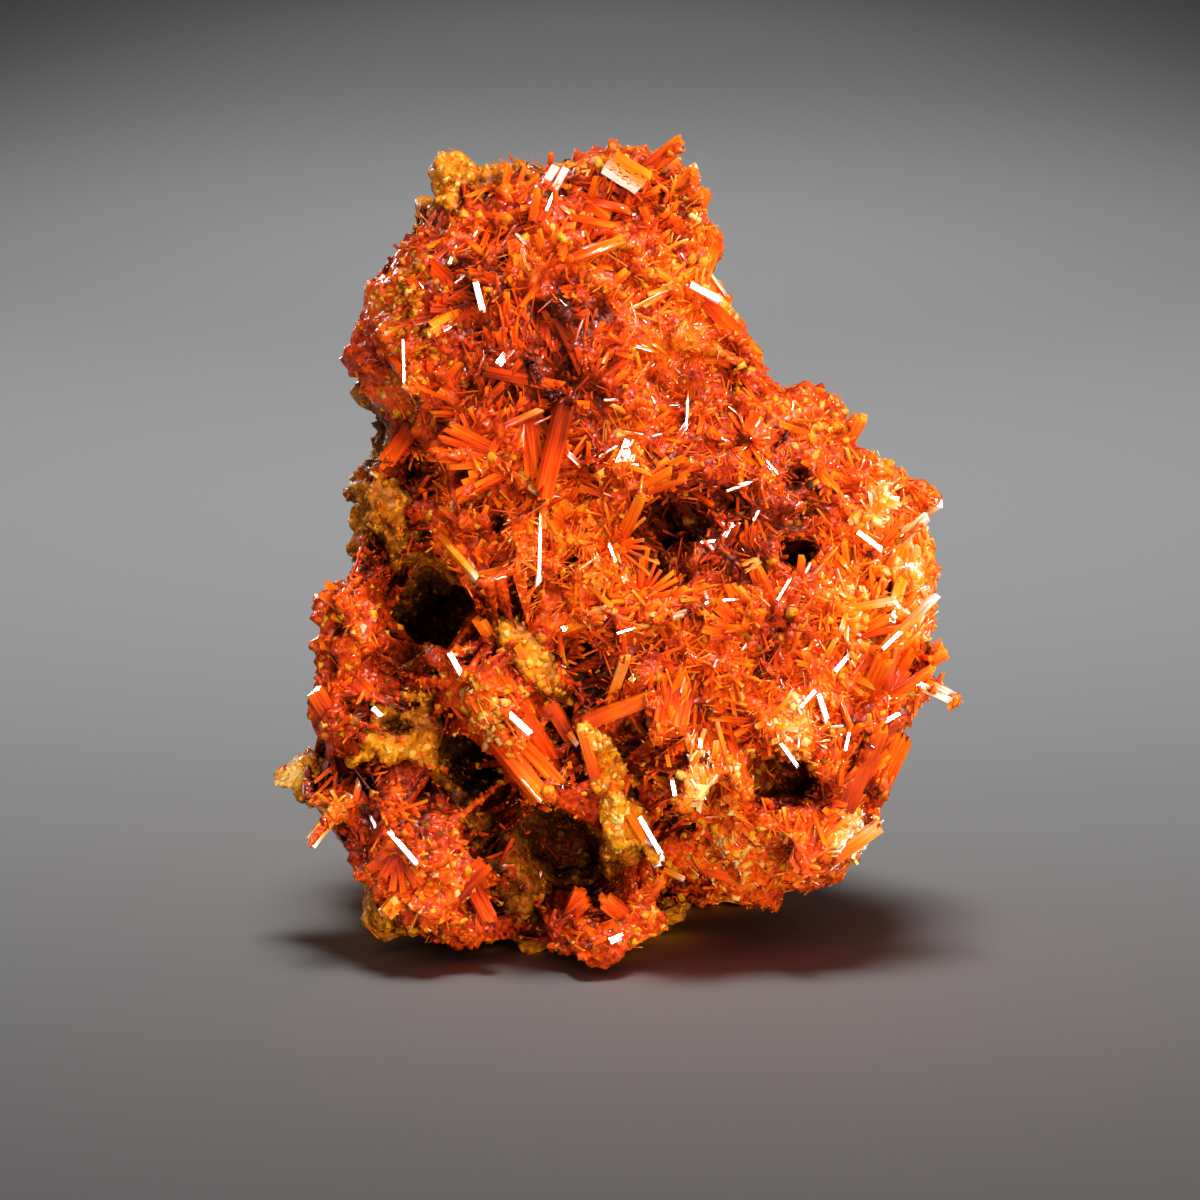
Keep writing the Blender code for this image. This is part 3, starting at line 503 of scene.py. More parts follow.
# Crystals that turn a face to the light: root column and row, tip column and row, width.
BRIGHT_FACES = (
    (536, 208, 556, 168, 0.9),
    (548, 206, 562, 172, 0.6),
    (420, 216, 428, 232, 0.8),
    (477, 288, 483, 312, 1.4),
    (695, 288, 722, 302, 1.6),
    (403, 345, 404, 385, 0.5),
    (541, 510, 539, 588, 0.7),
    (610, 548, 622, 580, 0.7),
    (622, 632, 682, 614, 0.5),
    (634, 678, 656, 656, 1.4),
    (566, 628, 592, 618, 1.2),
    (609, 704, 617, 672, 0.7),
    (888, 549, 926, 522, 1.3),
    (862, 536, 884, 552, 1.2),
    (886, 646, 936, 598, 0.9),
    (928, 512, 938, 504, 1.6),
    (893, 618, 900, 600, 1.4),
    (916, 684, 952, 698, 1.4),
    (780, 596, 792, 576, 0.6),
    (728, 600, 756, 598, 0.5),
    (706, 542, 724, 540, 0.6),
    (756, 516, 764, 502, 0.6),
    (762, 456, 780, 476, 0.4),
    (688, 396, 686, 430, 0.4),
    (604, 454, 636, 434, 0.4),
    (336, 618, 356, 627, 1.3),
    (376, 712, 384, 720, 1.2),
    (452, 658, 462, 676, 1.3),
    (510, 716, 534, 738, 1.6),
    (574, 736, 582, 746, 2.2),
    (350, 796, 372, 806, 0.9),
    (392, 836, 420, 868, 1.2),
    (302, 824, 306, 840, 1.4),
    (642, 822, 662, 856, 1.2),
    (668, 872, 686, 880, 1.3),
    (614, 940, 624, 936, 1.6),
    (784, 748, 800, 770, 0.9),
    (820, 700, 828, 724, 1.2),
    (846, 746, 852, 720, 0.7),
    (668, 760, 676, 800, 1.0),
    (700, 744, 704, 800, 0.9),
    (888, 720, 902, 712, 1.0),
    (804, 704, 816, 690, 0.9),
    (838, 668, 852, 652, 1.0),
)

# What each bed is painted with. Every other bed is a crust with the crystals' places.
BED_PAINT = {
    ROCK_NODE: (ROCK_GROWTH, ROCK_PLACES),
    "main_crystal_mass": (TANGLE_GROWTH, PLACES),
}

# The face grid


def sight(column, row):
    """The direction from the eye through a face grid point."""
    half = GRID_SIDE / 2
    aim = GRID_CENTRE + RIGHT * (column - half) * GRID_STEP + UP * (half - row) * GRID_STEP
    return (aim - EYE).normalized()


def grid_of(points):
    """The face grid columns and rows where an array of points appears."""
    offset = points - np.array(EYE)
    scale = VIEW_DISTANCE / (offset @ np.array(AWAY)) / GRID_STEP
    half = GRID_SIDE / 2
    return half + offset @ np.array(RIGHT) * scale, half - offset @ np.array(UP) * scale


def face_way(across, up, nearer):
    """A direction given as seen from the eye."""
    return (RIGHT * across + UP * up - AWAY * nearer).normalized()


def tree_of(items):
    """One search tree over the faces of several objects."""
    corners, faces = [], []
    for item in items:
        start = len(corners)
        corners += [vert.co.copy() for vert in item.data.vertices]
        faces += [[start + i for i in face.vertices] for face in item.data.polygons]
    return BVHTree.FromPolygons(corners, faces)


# Meshes and attributes


def in_scene(name, data):
    made = bpy.data.objects.new(name, data)
    bpy.context.scene.collection.objects.link(made)
    return made


def finished_mesh(name, bm):
    mesh = bpy.data.meshes.new(name)
    bm.to_mesh(mesh)
    bm.free()
    return mesh


def mesh_object(name, bm):
    return in_scene(name, finished_mesh(name, bm))


def bake_modifiers(item):
    """Makes the evaluated shape the object's own plain mesh."""
    graph = bpy.context.evaluated_depsgraph_get()
    item.data = bpy.data.meshes.new_from_object(item.evaluated_get(graph))
    item.modifiers.clear()


def store(mesh, name, values, kind="FLOAT"):
    """Writes one value for each point of a mesh."""
    layer = mesh.attributes.get(name) or mesh.attributes.new(name, kind, "POINT")
    key = "vector" if kind == "FLOAT_VECTOR" else "value"
    layer.data.foreach_set(key, np.asarray(values, np.float32).ravel())


def stored(mesh, name):
    """Reads one value for each point of a mesh."""
    layer = mesh.attributes[name]
    vector = layer.data_type == "FLOAT_VECTOR"
    kind = np.int32 if layer.data_type == "INT" else np.float32
    values = np.empty(len(mesh.vertices) * (3 if vector else 1), kind)
    layer.data.foreach_get("vector" if vector else "value", values)
    return values.reshape(-1, 3) if vector else values


def vectors_of(items, key):
    vectors = np.empty(len(items) * 3, np.float32)
    items.foreach_get(key, vectors)
    return vectors.reshape(-1, 3)


def points_of(mesh):
    return vectors_of(mesh.vertices, "co")


def normals_of(mesh):
    return vectors_of(mesh.vertex_normals, "vector")


def skin_of(item):
    """The points of a piece and its normals there."""
    return points_of(item.data), normals_of(item.data)


def move_points(mesh, points):
    mesh.vertices.foreach_set("co", np.asarray(points, np.float32).ravel())
    mesh.update()


def keep_in_box(item):
    """Holds a piece to the specimen's own size and above the floor."""
    low, high = (np.array(corner) for corner in CAD_BOX)
    margin = (high - low) * BOX_MARGIN
    margin_low = margin * (1, 1, 0)
    move_points(item.data, np.clip(points_of(item.data), low - margin_low, high + margin))


# Geometry Nodes


def new_tree(name, numbers, others):
    """An empty geometry tree with named inputs: its group, input node and output node."""
    group = bpy.data.node_groups.new(name, "GeometryNodeTree")
    inputs = [("Geometry", "Geometry"), *((label, "Float") for label in numbers), *others]
    for label, kind in inputs:
        group.interface.new_socket(label, in_out="INPUT", socket_type="NodeSocket" + kind)
    group.interface.new_socket("Geometry", in_out="OUTPUT", socket_type="NodeSocketGeometry")
    return group, group.nodes.new("NodeGroupInput"), group.nodes.new("NodeGroupOutput")


def feed(group, socket, value):
    """Links an input to a socket, or sets it to a plain value."""
    if isinstance(value, bpy.types.NodeSocket):
        group.links.new(value, socket)
    else:
        socket.default_value = value


def feed_node(group, node, **sockets):
    """Sets or links a node's inputs by name. Underscores stand for spaces."""
    for key, value in sockets.items():
        label = key.replace("_", " ")
        feed(group, next(s for s in node.inputs if s.name == label and s.enabled), value)
    return node


def add_node(group, kind, settings=(), **sockets):
    node = group.nodes.new(kind)
    for key, value in dict(settings).items():
        setattr(node, key, value)
    return feed_node(group, node, **sockets)


def output_of(group, kind, settings=(), **sockets):
    """The first output of a new node."""
    return add_node(group, kind, settings, **sockets).outputs[0]


def maths(group, operation, first, second, kind="ShaderNodeMath"):
    node = group.nodes.new(kind)
    node.operation = operation
    for socket, value in zip(node.inputs, (first, second)):
        feed(group, socket, value)
    return node.outputs[0]


def vector_maths(group, operation, first, second):
    return maths(group, operation, first, second, "ShaderNodeVectorMath")


def scaled(group, vector, factor):
    way = {"operation": "SCALE"}
    return output_of(group, "ShaderNodeVectorMath", way, Vector=vector, Scale=factor)


def unit(group, vector):
    return vector_maths(group, "NORMALIZE", vector, (0, 0, 0))


def chance_node(group, low, high, seed):
    """A random number for each point, between two values or sockets."""
    node = add_node(
        group, "FunctionNodeRandomValue", {"data_type": "FLOAT"}, Min=low, Max=high, Seed=seed
    )
    return next(s for s in node.outputs if s.enabled)


def euler(group, x=0.0, y=0.0, z=0.0):
    angles = output_of(group, "ShaderNodeCombineXYZ", X=x, Y=y, Z=z)
    return output_of(group, "FunctionNodeEulerToRotation", Euler=angles)


def turned(group, rotation, by):
    """A rotation followed by another in its own axes."""
    local = {"rotation_space": "LOCAL"}
    return output_of(group, "FunctionNodeRotateRotation", local, Rotation=rotation, Rotate_By=by)


def attribute(group, name, kind="FLOAT"):
    node = add_node(group, "GeometryNodeInputNamedAttribute", {"data_type": kind}, Name=name)
    return next(s for s in node.outputs if s.enabled and s.name == "Attribute")


def finish_tree(group, geometry, finish, result):
    real = output_of(group, "GeometryNodeRealizeInstances", Geometry=geometry)
    done = output_of(group, "GeometryNodeSetMaterial", Geometry=real, Material=finish)
    group.links.new(done, result.inputs[0])
    return group


def fan_way(group, size):
    """The way that a crystal leans: partly out from the middle of its own fan, and partly
    along the bed's flow."""
    where = output_of(group, "GeometryNodeInputPosition")
    cells = add_node(
        group, "ShaderNodeTexVoronoi", Vector=where, Scale=maths(group, "DIVIDE", 1.0, size)
    )
    out = unit(group, vector_maths(group, "SUBTRACT", where, cells.outputs["Position"]))
    fan = attribute(group, "fan")
    flow = attribute(group, "flow", "FLOAT_VECTOR")
    kept_flow = scaled(group, flow, maths(group, "SUBTRACT", 1.0, fan))
    return vector_maths(group, "ADD", scaled(group, out, fan), kept_flow)


def growth_tree():
    """Grows small forms over a bed. Each stands on the surface, leans with its fan and the
    bed's flow, and keeps the bed's hue, a little changed."""
    group, given, result = new_tree(
        "growth",
        (
            "Form Count", "Density", "Shortest", "Longest", "Thinnest", "Thickest", "Flattest",
            "Steepest", "Sink", "Stray", "Fan Size", "Hue Shift", "Hue Stray",
        ),
        (("Forms", "Collection"), ("Kind", "String"), ("Seed", "Int"), ("Finish", "Material")),
    )
    g = given.outputs
    seeds = [maths(group, "ADD", g["Seed"], i) for i in range(9)]

    share = attribute(group, g["Kind"])
    density = maths(group, "MULTIPLY", g["Density"], share)
    spots = add_node(
        group,
        "GeometryNodeDistributePointsOnFaces",
        Mesh=g["Geometry"],
        Density=density,
        Seed=g["Seed"],
    )

    # Upright on the surface, turned to the fan and the flow, strayed, leaned, and then rolled
    # on its own axis.
    align = "FunctionNodeAlignRotationToVector"
    outward = attribute(group, "outward", "FLOAT_VECTOR")
    upright = output_of(group, align, {"axis": "Z"}, Vector=outward)
    lean_way, flat = fan_way(group, g["Fan Size"]), {"axis": "Y", "pivot_axis": "Z"}
    along = output_of(group, align, flat, Rotation=upright, Vector=lean_way)
    stray = chance_node(group, maths(group, "MULTIPLY", g["Stray"], -1.0), g["Stray"], seeds[1])
    facing = turned(group, along, euler(group, z=stray))
    rise = chance_node(group, g["Flattest"], g["Steepest"], seeds[2])
    leaned = turned(group, facing, euler(group, x=maths(group, "SUBTRACT", rise, math.pi / 2)))
    rolled = turned(group, leaned, euler(group, z=chance_node(group, 0.0, math.tau, seeds[3])))

    # Most forms are short: the length follows the square of a chance.
    chance = chance_node(group, 0.0, 1.0, seeds[4])
    reach = maths(group, "SUBTRACT", g["Longest"], g["Shortest"])
    squared = maths(group, "MULTIPLY", chance, chance)
    length = maths(group, "ADD", g["Shortest"], maths(group, "MULTIPLY", reach, squared))
    width = chance_node(group, g["Thinnest"], g["Thickest"], seeds[5])
    thickness = maths(group, "MULTIPLY", width, chance_node(group, 0.5, 1.0, seeds[6]))
    measures = output_of(group, "ShaderNodeCombineXYZ", X=width, Y=thickness, Z=length)
    size = scaled(group, measures, attribute(group, "coarse"))

    points, way = spots.outputs["Points"], spots.outputs["Normal"]
    drop = scaled(group, way, g["Sink"])
    sunk = output_of(group, "GeometryNodeSetPosition", Geometry=points, Offset=drop)
    hue_low = maths(group, "SUBTRACT", g["Hue Shift"], g["Hue Stray"])
    hue_high = maths(group, "ADD", g["Hue Shift"], g["Hue Stray"])
    hue_change = chance_node(group, hue_low, hue_high, seeds[7])
    hue = maths(group, "ADD", attribute(group, "hue"), hue_change)
    keep, number = "GeometryNodeStoreNamedAttribute", output_of(group, "GeometryNodeInputIndex")
    hued = output_of(group, keep, Geometry=sunk, Name="hue", Value=hue)
    whole = {"data_type": "INT"}
    numbered = output_of(group, keep, whole, Geometry=hued, Name="crystal", Value=number)

    forms = output_of(
        group,
        "GeometryNodeCollectionInfo",
        Collection=g["Forms"],
        Separate_Children=True,
        Reset_Children=True,
    )
    pick = maths(group, "FLOOR", chance_node(group, 0.0, g["Form Count"], seeds[8]), 0.0)
    placed = output_of(
        group,
        "GeometryNodeInstanceOnPoints",
        Points=numbered,
        Instance=forms,
        Pick_Instance=True,
        Instance_Index=pick,
        Rotation=rolled,
        Scale=size,
    )
    return finish_tree(group, placed, g["Finish"], result)


def weather_tree():
    """Wears a bed into swells, blocky lumps and grain. Swells go in more than out."""
    group, given, result = new_tree("weathering", ROCK_WEAR, [("Finish", "Material")])
    g = given.outputs
    where = output_of(group, "GeometryNodeInputPosition")

    def noise(size, detail):
        scale = maths(group, "DIVIDE", 1.0, size)
        return output_of(group, "ShaderNodeTexNoise", Vector=where, Scale=scale, Detail=detail)

    def layer(height, middle, depth):
        return maths(group, "MULTIPLY", maths(group, "SUBTRACT", height, middle), depth)

    swell = layer(noise(g["Swell Size"], 2.0), g["Swell Middle"], g["Swell"])
    # Cells measured along the axes, so that the lumps are blocks.
    blocky, scale = {"distance": "CHEBYCHEV"}, maths(group, "DIVIDE", 1.0, g["Lump Size"])
    from_middle = output_of(group, "ShaderNodeTexVoronoi", blocky, Vector=where, Scale=scale)
    lump = layer(0.30, from_middle, g["Lump"])
    grain = layer(noise(g["Grain Size"], 3.0), 0.5, g["Grain"])
    move = maths(group, "ADD", maths(group, "ADD", swell, lump), grain)
    step = scaled(group, output_of(group, "GeometryNodeInputNormal"), move)
    moved = output_of(group, "GeometryNodeSetPosition", Geometry=g["Geometry"], Offset=step)
    return finish_tree(group, moved, g["Finish"], result)


def run_tree(item, group, settings):
    """Runs a geometry tree on an object and keeps its plain result."""
    step = item.modifiers.new(group.name, "NODES")
    step.node_group = group
    for socket in group.interface.items_tree:
        if socket.in_out == "INPUT" and socket.name in settings:
            step[socket.identifier] = settings[socket.name]
    bake_modifiers(item)


# Small forms, each one unit high and about one unit across


def turns_round(x, y):
    """How far round its axis a point of a form lies, four to the turn."""
    return np.arctan2(y, x) * 4 / math.tau


def add_prism(bm, corners, slants, taper=0.9, low=0.0, high=1.0):
    """A closed prism on a ring of corners. Slants are how far its end drops at each corner."""
    centre = sum((Vector(corner) for corner in corners), Vector((0, 0))) / len(corners)
    foot = [bm.verts.new((x, y, low)) for x, y in corners]
    head = []
    for corner, slant in zip(corners, slants):
        x, y = centre + (Vector(corner) - centre) * taper
        head.append(bm.verts.new((x, y, high - slant)))
    count = len(corners)
    for i in range(count):
        j = (i + 1) % count
        bm.faces.new((foot[i], foot[j], head[j], head[i]))
    bm.faces.new(reversed(foot))
    bm.faces.new(head)


SQUARE = ((-0.5, -0.5), (0.5, -0.5), (0.5, 0.5), (-0.5, 0.5))
LEFT_HALF = ((-0.5, -0.5), (0.04, -0.5), (0.04, 0.4), (-0.5, 0.4))
RIGHT_HALF = ((-0.04, -0.4), (0.5, -0.4), (0.5, 0.5), (-0.04, 0.5))
TRIANGLE = ((-0.5, -0.35), (0.5, -0.35), (0.05, 0.55))


def prism(*shape):
    """A maker of one prism, for the table of forms."""
    return lambda bm: add_prism(bm, *shape)


def twin(bm):
    add_prism(bm, LEFT_HALF, (0.0, 0.0, 0.05, 0.05))
    add_prism(bm, RIGHT_HALF, (0.05, 0.0, 0.0, 0.08), high=0.84)


plate = prism(SQUARE, (0.0, 0.0, 0.0, 0.0), 0.94)
chisel = prism(SQUARE, (0.0, 0.04, 0.18, 0.14), 0.9)
needle = prism(TRIANGLE, (0.0, 0.0, 0.06), 0.8)
sharp_needle = prism(TRIANGLE, (0.0, 0.1, 0.02), 0.35)
square_needle = prism(SQUARE, (0.0, 0.0, 0.05, 0.05), 0.9)


def shard(seed, bm):
    """An angular fragment, sunk half way at its root."""
    chance = random.Random(seed)
    add_prism(bm, SQUARE, [chance.uniform(0.0, 0.35) for _ in SQUARE], 0.75, -0.5, 0.5)
    for vert in bm.verts:
        vert.co += Vector([chance.uniform(-0.14, 0.14) for _ in range(3)])


def flake(seed, bm):
    """A thin leaf of crust."""
    shard(seed, bm)
    for vert in bm.verts:
        vert.co.y *= 0.4


FORMS = {
    "blades": (plate, chisel, twin),
    "needles": (needle, sharp_needle, square_needle),
    "shards": (partial(shard, 3), partial(shard, 4), partial(shard, 8)),
    "flakes": (partial(flake, 5), partial(flake, 6), partial(flake, 9), partial(shard, 8)),
}
SMOOTH_FORMS = ("shards", "flakes")


def new_forms(name):
    """A loose collection of forms for a geometry tree to choose from."""
    forms = bpy.data.collections.new(name)
    for i, make in enumerate(FORMS[name]):
        bm = bmesh.new()
        make(bm)
        for face in bm.faces:
            face.smooth = name in SMOOTH_FORMS
        mesh = finished_mesh(f"{name}_{i}", bm)
        points = points_of(mesh)
        store(mesh, "along", np.clip(points[:, 2], 0, 1))
        store(mesh, "around", turns_round(points[:, 0], points[:, 1]))
        forms.objects.link(bpy.data.objects.new(f"{name}_{i}", mesh))
    return forms


def drop_forms(forms):
    for item in list(forms.objects):
        bpy.data.objects.remove(item)
    bpy.data.collections.remove(forms)


# Materials


def ramp(group, stops, factor):
    node = group.nodes.new("ShaderNodeValToRGB")
    band = node.color_ramp
    while len(band.elements) < len(stops):
        band.elements.new(0.5)
    for element, (place, colour) in zip(band.elements, stops):
        element.position = place
        element.color = (*colour, 1.0)
    group.links.new(factor, node.inputs[0])
    return node.outputs[0]


def object_place(group):
    return group.nodes.new("ShaderNodeTexCoord").outputs["Object"]


def shader_noise(group, size, detail=4.0):
    """Noise from -1 to 1 over the object, its swells about a size apart."""
    where, scale = object_place(group), 1.0 / size
    noise = output_of(group, "ShaderNodeTexNoise", Vector=where, Scale=scale, Detail=detail)
    return maths(group, "SUBTRACT", maths(group, "MULTIPLY", noise, 2.0), 1.0)


def shader_attribute(group, name):
    node = group.nodes.new("ShaderNodeAttribute")
    node.attribute_name = name
    return node.outputs["Fac"]


def leaned_normal(group, lean):
    normal = group.nodes.new("ShaderNodeNewGeometry").outputs["Normal"]
    return unit(group, vector_maths(group, "ADD", normal, lean))


def centred(group, colour):
    """A colour as a vector from -0.5 to 0.5."""
    return vector_maths(group, "SUBTRACT", colour, (0.5, 0.5, 0.5))


def facets(group, size, strength):
    """A normal that changes from one small crystal face to the next."""
    where, scale = object_place(group), 1.0 / size
    cells = add_node(group, "ShaderNodeTexVoronoi", Vector=where, Scale=scale).outputs["Color"]
    return leaned_normal(group, scaled(group, centred(group, cells), strength))


def new_material(name):
    made = bpy.data.materials.new(name)
    made.use_nodes = True
    return made, made.node_tree, made.node_tree.nodes["Principled BSDF"]


CRYSTAL_HUES = (
    (0.00, (0.016, 0.003, 0.001)),
    (0.16, (0.110, 0.010, 0.002)),
    (0.34, (0.420, 0.026, 0.002)),
    (0.50, (0.760, 0.065, 0.002)),
    (0.64, (0.870, 0.140, 0.004)),
    (0.78, (0.870, 0.240, 0.008)),
    (0.90, (0.920, 0.400, 0.120)),
    (1.00, (0.950, 0.800, 0.680)),
)
ROCK_HUES = (
    (0.00, (0.004, 0.002, 0.001)),
    (0.22, (0.050, 0.012, 0.002)),
    (0.42, (0.230, 0.056, 0.003)),
    (0.60, (0.560, 0.150, 0.004)),
    (0.78, (0.760, 0.290, 0.006)),
    (1.00, (0.850, 0.520, 0.160)),
)
# How far red, green and blue light travel in a crystal, as shares of the farthest.
GLOW_REACH = (1.0, 0.28, 0.06)
# The size of the speckles and of the dull clouds on crust and rock.
SPECKLE_SIZE = 0.6 * MM
CLOUD_SIZE = 1.5 * MM


def painted_hollow_shade(group):
    """How open a place is, above or below the middle: it paints shade into hollows."""
    return maths(group, "SUBTRACT", shader_attribute(group, "open"), MIDDLE_OPEN)


def blended_hue(group, *terms):
    """The hue attribute of a surface with weighted changes added."""
    hue = shader_attribute(group, "hue")
    for value, weight in terms:
        hue = maths(group, "ADD", hue, maths(group, "MULTIPLY", value, weight))
    return hue


def streaks(group):
    """Noise drawn out along each crystal, from -0.5 to 0.5, and the same as a colour."""
    x, y, z = (
        maths(group, "MULTIPLY", shader_attribute(group, name), scale)
        for name, scale in (("around", 2.6), ("along", 1.6), ("hue", 60.0))
    )
    where = output_of(group, "ShaderNodeCombineXYZ", X=x, Y=y, Z=z)
    node = add_node(group, "ShaderNodeTexNoise", Vector=where, Scale=1.0, Detail=2.0)
    return maths(group, "SUBTRACT", node.outputs[0], 0.5), centred(group, node.outputs["Color"])


def crystal_finish():
    """Glassy lead chromate, striated lengthwise. Tips are painted paler than roots, and hollows
    darker, as painted light and shade, and light glows a little way in. A polished face is free
    of streaks and throws the light back whole."""
    made, group, shader = new_material("crocoite_crystal")
    rough = maths(group, "SUBTRACT", 1.0, shader_attribute(group, "polish"))
    streak, streak_ways = streaks(group)
    streak = maths(group, "MULTIPLY", streak, rough)
    # Painted light and shade: tips are painted paler and roots darker, and hollows darker.
    tip = maths(group, "SUBTRACT", shader_attribute(group, "along"), MIDDLE_ALONG)
    patches = shader_noise(group, 5 * MM)
    hue = blended_hue(
        group, (tip, 0.34), (painted_hollow_shade(group), 0.46), (patches, 0.20), (streak, 0.45)
    )
    hue = maths(group, "MAXIMUM", hue, 0.16)
    lean = scaled(group, streak_ways, maths(group, "MULTIPLY", rough, 0.55))
    shader.subsurface_method = "BURLEY"
    feed_node(
        group,
        shader,
        Base_Color=ramp(group, CRYSTAL_HUES, hue),
        Roughness=maths(group, "ADD", maths(group, "MULTIPLY", streak, 0.30), 0.13),
        IOR=1.6,
        Subsurface_Radius=GLOW_REACH,
        Subsurface_Scale=1.2 * MM,
        Subsurface_Weight=maths(group, "MULTIPLY", rough, 0.45),
        Normal=leaned_normal(group, lean),
    )
    return made


def speckled_finish(name, hues, patches, speckles, darker, darkest, dull, ior, faces):
    """A surface of minute faces, painted darker in its hollows as painted shade. Patches and
    faces are a size and a strength, and dull is how rough it is and how far that varies."""
    made, group, shader = new_material(name)
    hue = blended_hue(
        group,
        (painted_hollow_shade(group), 0.55),
        (shader_noise(group, patches[0]), patches[1]),
        (shader_noise(group, SPECKLE_SIZE), speckles),
    )
    hue = maths(group, "MAXIMUM", maths(group, "SUBTRACT", hue, darker), darkest)
    cloudy = maths(group, "MULTIPLY", shader_noise(group, CLOUD_SIZE), dull[1])
    feed_node(
        group,
        shader,
        Base_Color=ramp(group, hues, hue),
        Roughness=maths(group, "ADD", cloudy, dull[0]),
        IOR=ior,
        Normal=facets(group, *faces),
    )
    return made


def crust_finish():
    """Crocoite grown as a crust of minute faces, with painted shade darkening its hollows."""
    return speckled_finish(
        "crocoite_crust", CRYSTAL_HUES, patches=(3.5 * MM, 0.20), speckles=0.34, darker=0.17,
        darkest=0.09, dull=(0.38, 0.2), ior=1.5, faces=(0.45 * MM, 1.0),
    )


def rock_finish():
    """Porous iron oxide, from black brown in its pits to ochre dust on its grains. Its hollows
    are darkened further by painted shade.
    """
    return speckled_finish(
        "gossan_rock", ROCK_HUES, patches=(5 * MM, 0.20), speckles=0.26, darker=0.0,
        darkest=0.0, dull=(0.50, 0.35), ior=1.35, faces=(0.5 * MM, 0.8),
    )


# Beds: the surfaces that everything grows on


def divide_evenly(item, face_size):
    """Rebuilds a piece as one closed skin of even faces."""
    step = item.modifiers.new("even", "REMESH")
    step.mode = "VOXEL"
    step.voxel_size = face_size
    step.use_smooth_shade = True
    bake_modifiers(item)


def drop_crumbs(item):
    """Removes the loose crumbs that an even skin leaves of the thinnest crystals."""
    bm = bmesh.new()
    bm.from_mesh(item.data)
    bm.verts.ensure_lookup_table()
    seen = [False] * len(bm.verts)
    groups = []
    for first in bm.verts:
        if seen[first.index]:
            continue
        seen[first.index] = True
        group = [first]
        for vert in group:
            for edge in vert.link_edges:
                other = edge.other_vert(vert)
                if not seen[other.index]:
                    seen[other.index] = True
                    group.append(other)
        groups.append(group)
    largest = max(len(group) for group in groups)
    crumbs = [vert for group in groups if len(group) < CRUMB_SHARE * largest for vert in group]
    bmesh.ops.delete(bm, geom=crumbs, context="VERTS")
    bm.to_mesh(item.data)
    bm.free()


def raw_bed(node_name):
    """A finely divided copy of a CAD node, its thinnest edges worn back."""
    bm = bmesh.new()
    bm.from_mesh(frame["nodes"][node_name].data)
    bmesh.ops.remove_doubles(bm, verts=bm.verts, dist=1e-6)
    item = mesh_object(node_name + "_bed", bm)
    divide_evenly(item, THINNEST_ROCK if node_name == ROCK_NODE else THINNEST_CRUST)
    divide_evenly(item, BED_STEP)
    drop_crumbs(item)
    step = item.modifiers.new("wear", "SMOOTH")
    step.factor = 0.5
    step.iterations = 6 if node_name == ROCK_NODE else 2
    bake_modifiers(item)
    store(item.data, "outward", normals_of(item.data), "FLOAT_VECTOR")
    store(item.data, "seated", np.zeros(len(item.data.vertices)))
    store(item.data, "thick", thicknesses(item))
    return item


def thicknesses(item):
    """How thick a piece is straight below each of its points."""
    tree = tree_of([item])
    points, normals = skin_of(item)
    found = np.full(len(points), THICKEST)
    for i, (point, normal) in enumerate(zip(points, normals)):
        start = Vector(point - normal * 0.05 * MM)
        found[i] = tree.ray_cast(start, -Vector(normal), THICKEST)[3] or THICKEST
    return found


def weather(item, weathering, settings):
    """Wears a bed, but its thin parts only a little, so that none turns inside out."""
    before, outward = points_of(item.data), stored(item.data, "outward")
    run_tree(item, weathering, settings)
    move = ((points_of(item.data) - before) * outward).sum(1)
    thick = stored(item.data, "thick")
    most = THIN_WEAR * thick + THICK_WEAR * np.maximum(thick - THICK_FROM, 0)
    move_points(item.data, before + outward * np.clip(move, -most, most)[:, None])


def seat(item, rock):
    """Grows the hidden side of a crystal bed onto the rock behind it."""
    points, normals = skin_of(item)
    hidden = normals @ np.array(AWAY) > HIDDEN_FACING
    seated = np.zeros(len(points))
    for i, (point, normal) in enumerate(zip(points, normals)):
        reach = HIDDEN_REACH if hidden[i] else SEAT_REACH
        distance = rock.ray_cast(Vector(point), Vector(normal), reach)[3]
        if distance is not None:
            points[i] += normal * (distance + SEAT_DEPTH)
            seated[i] = 1
    move_points(item.data, points)
    store(item.data, "seated", seated)


def make_bed(node_name, weathering, settings, finish, solids, rock):
    """The surface that a node's crystals or grains grow on: weathered, fitted to the face,
    and seated on the rock. It keeps its normals from before the weathering."""
    item = raw_bed(node_name)
    weather(item, weathering, {**settings, "Finish": finish})
    shape_face(item, solids)
    if rock:
        seat(item, rock)
    keep_in_box(item)
    item.data.materials.clear()
    item.data.materials.append(finish)
    return item


def reach_from(columns, rows, column, row, across, up, lean):
    """How far grid points lie from the middle of a leaning oval: 1 at its edge."""
    turn = math.radians(lean)
    right, rise = columns - column, row - rows
    major = right * math.cos(turn) + rise * math.sin(turn)
    minor = rise * math.cos(turn) - right * math.sin(turn)
    return np.hypot(major / across, minor / up)


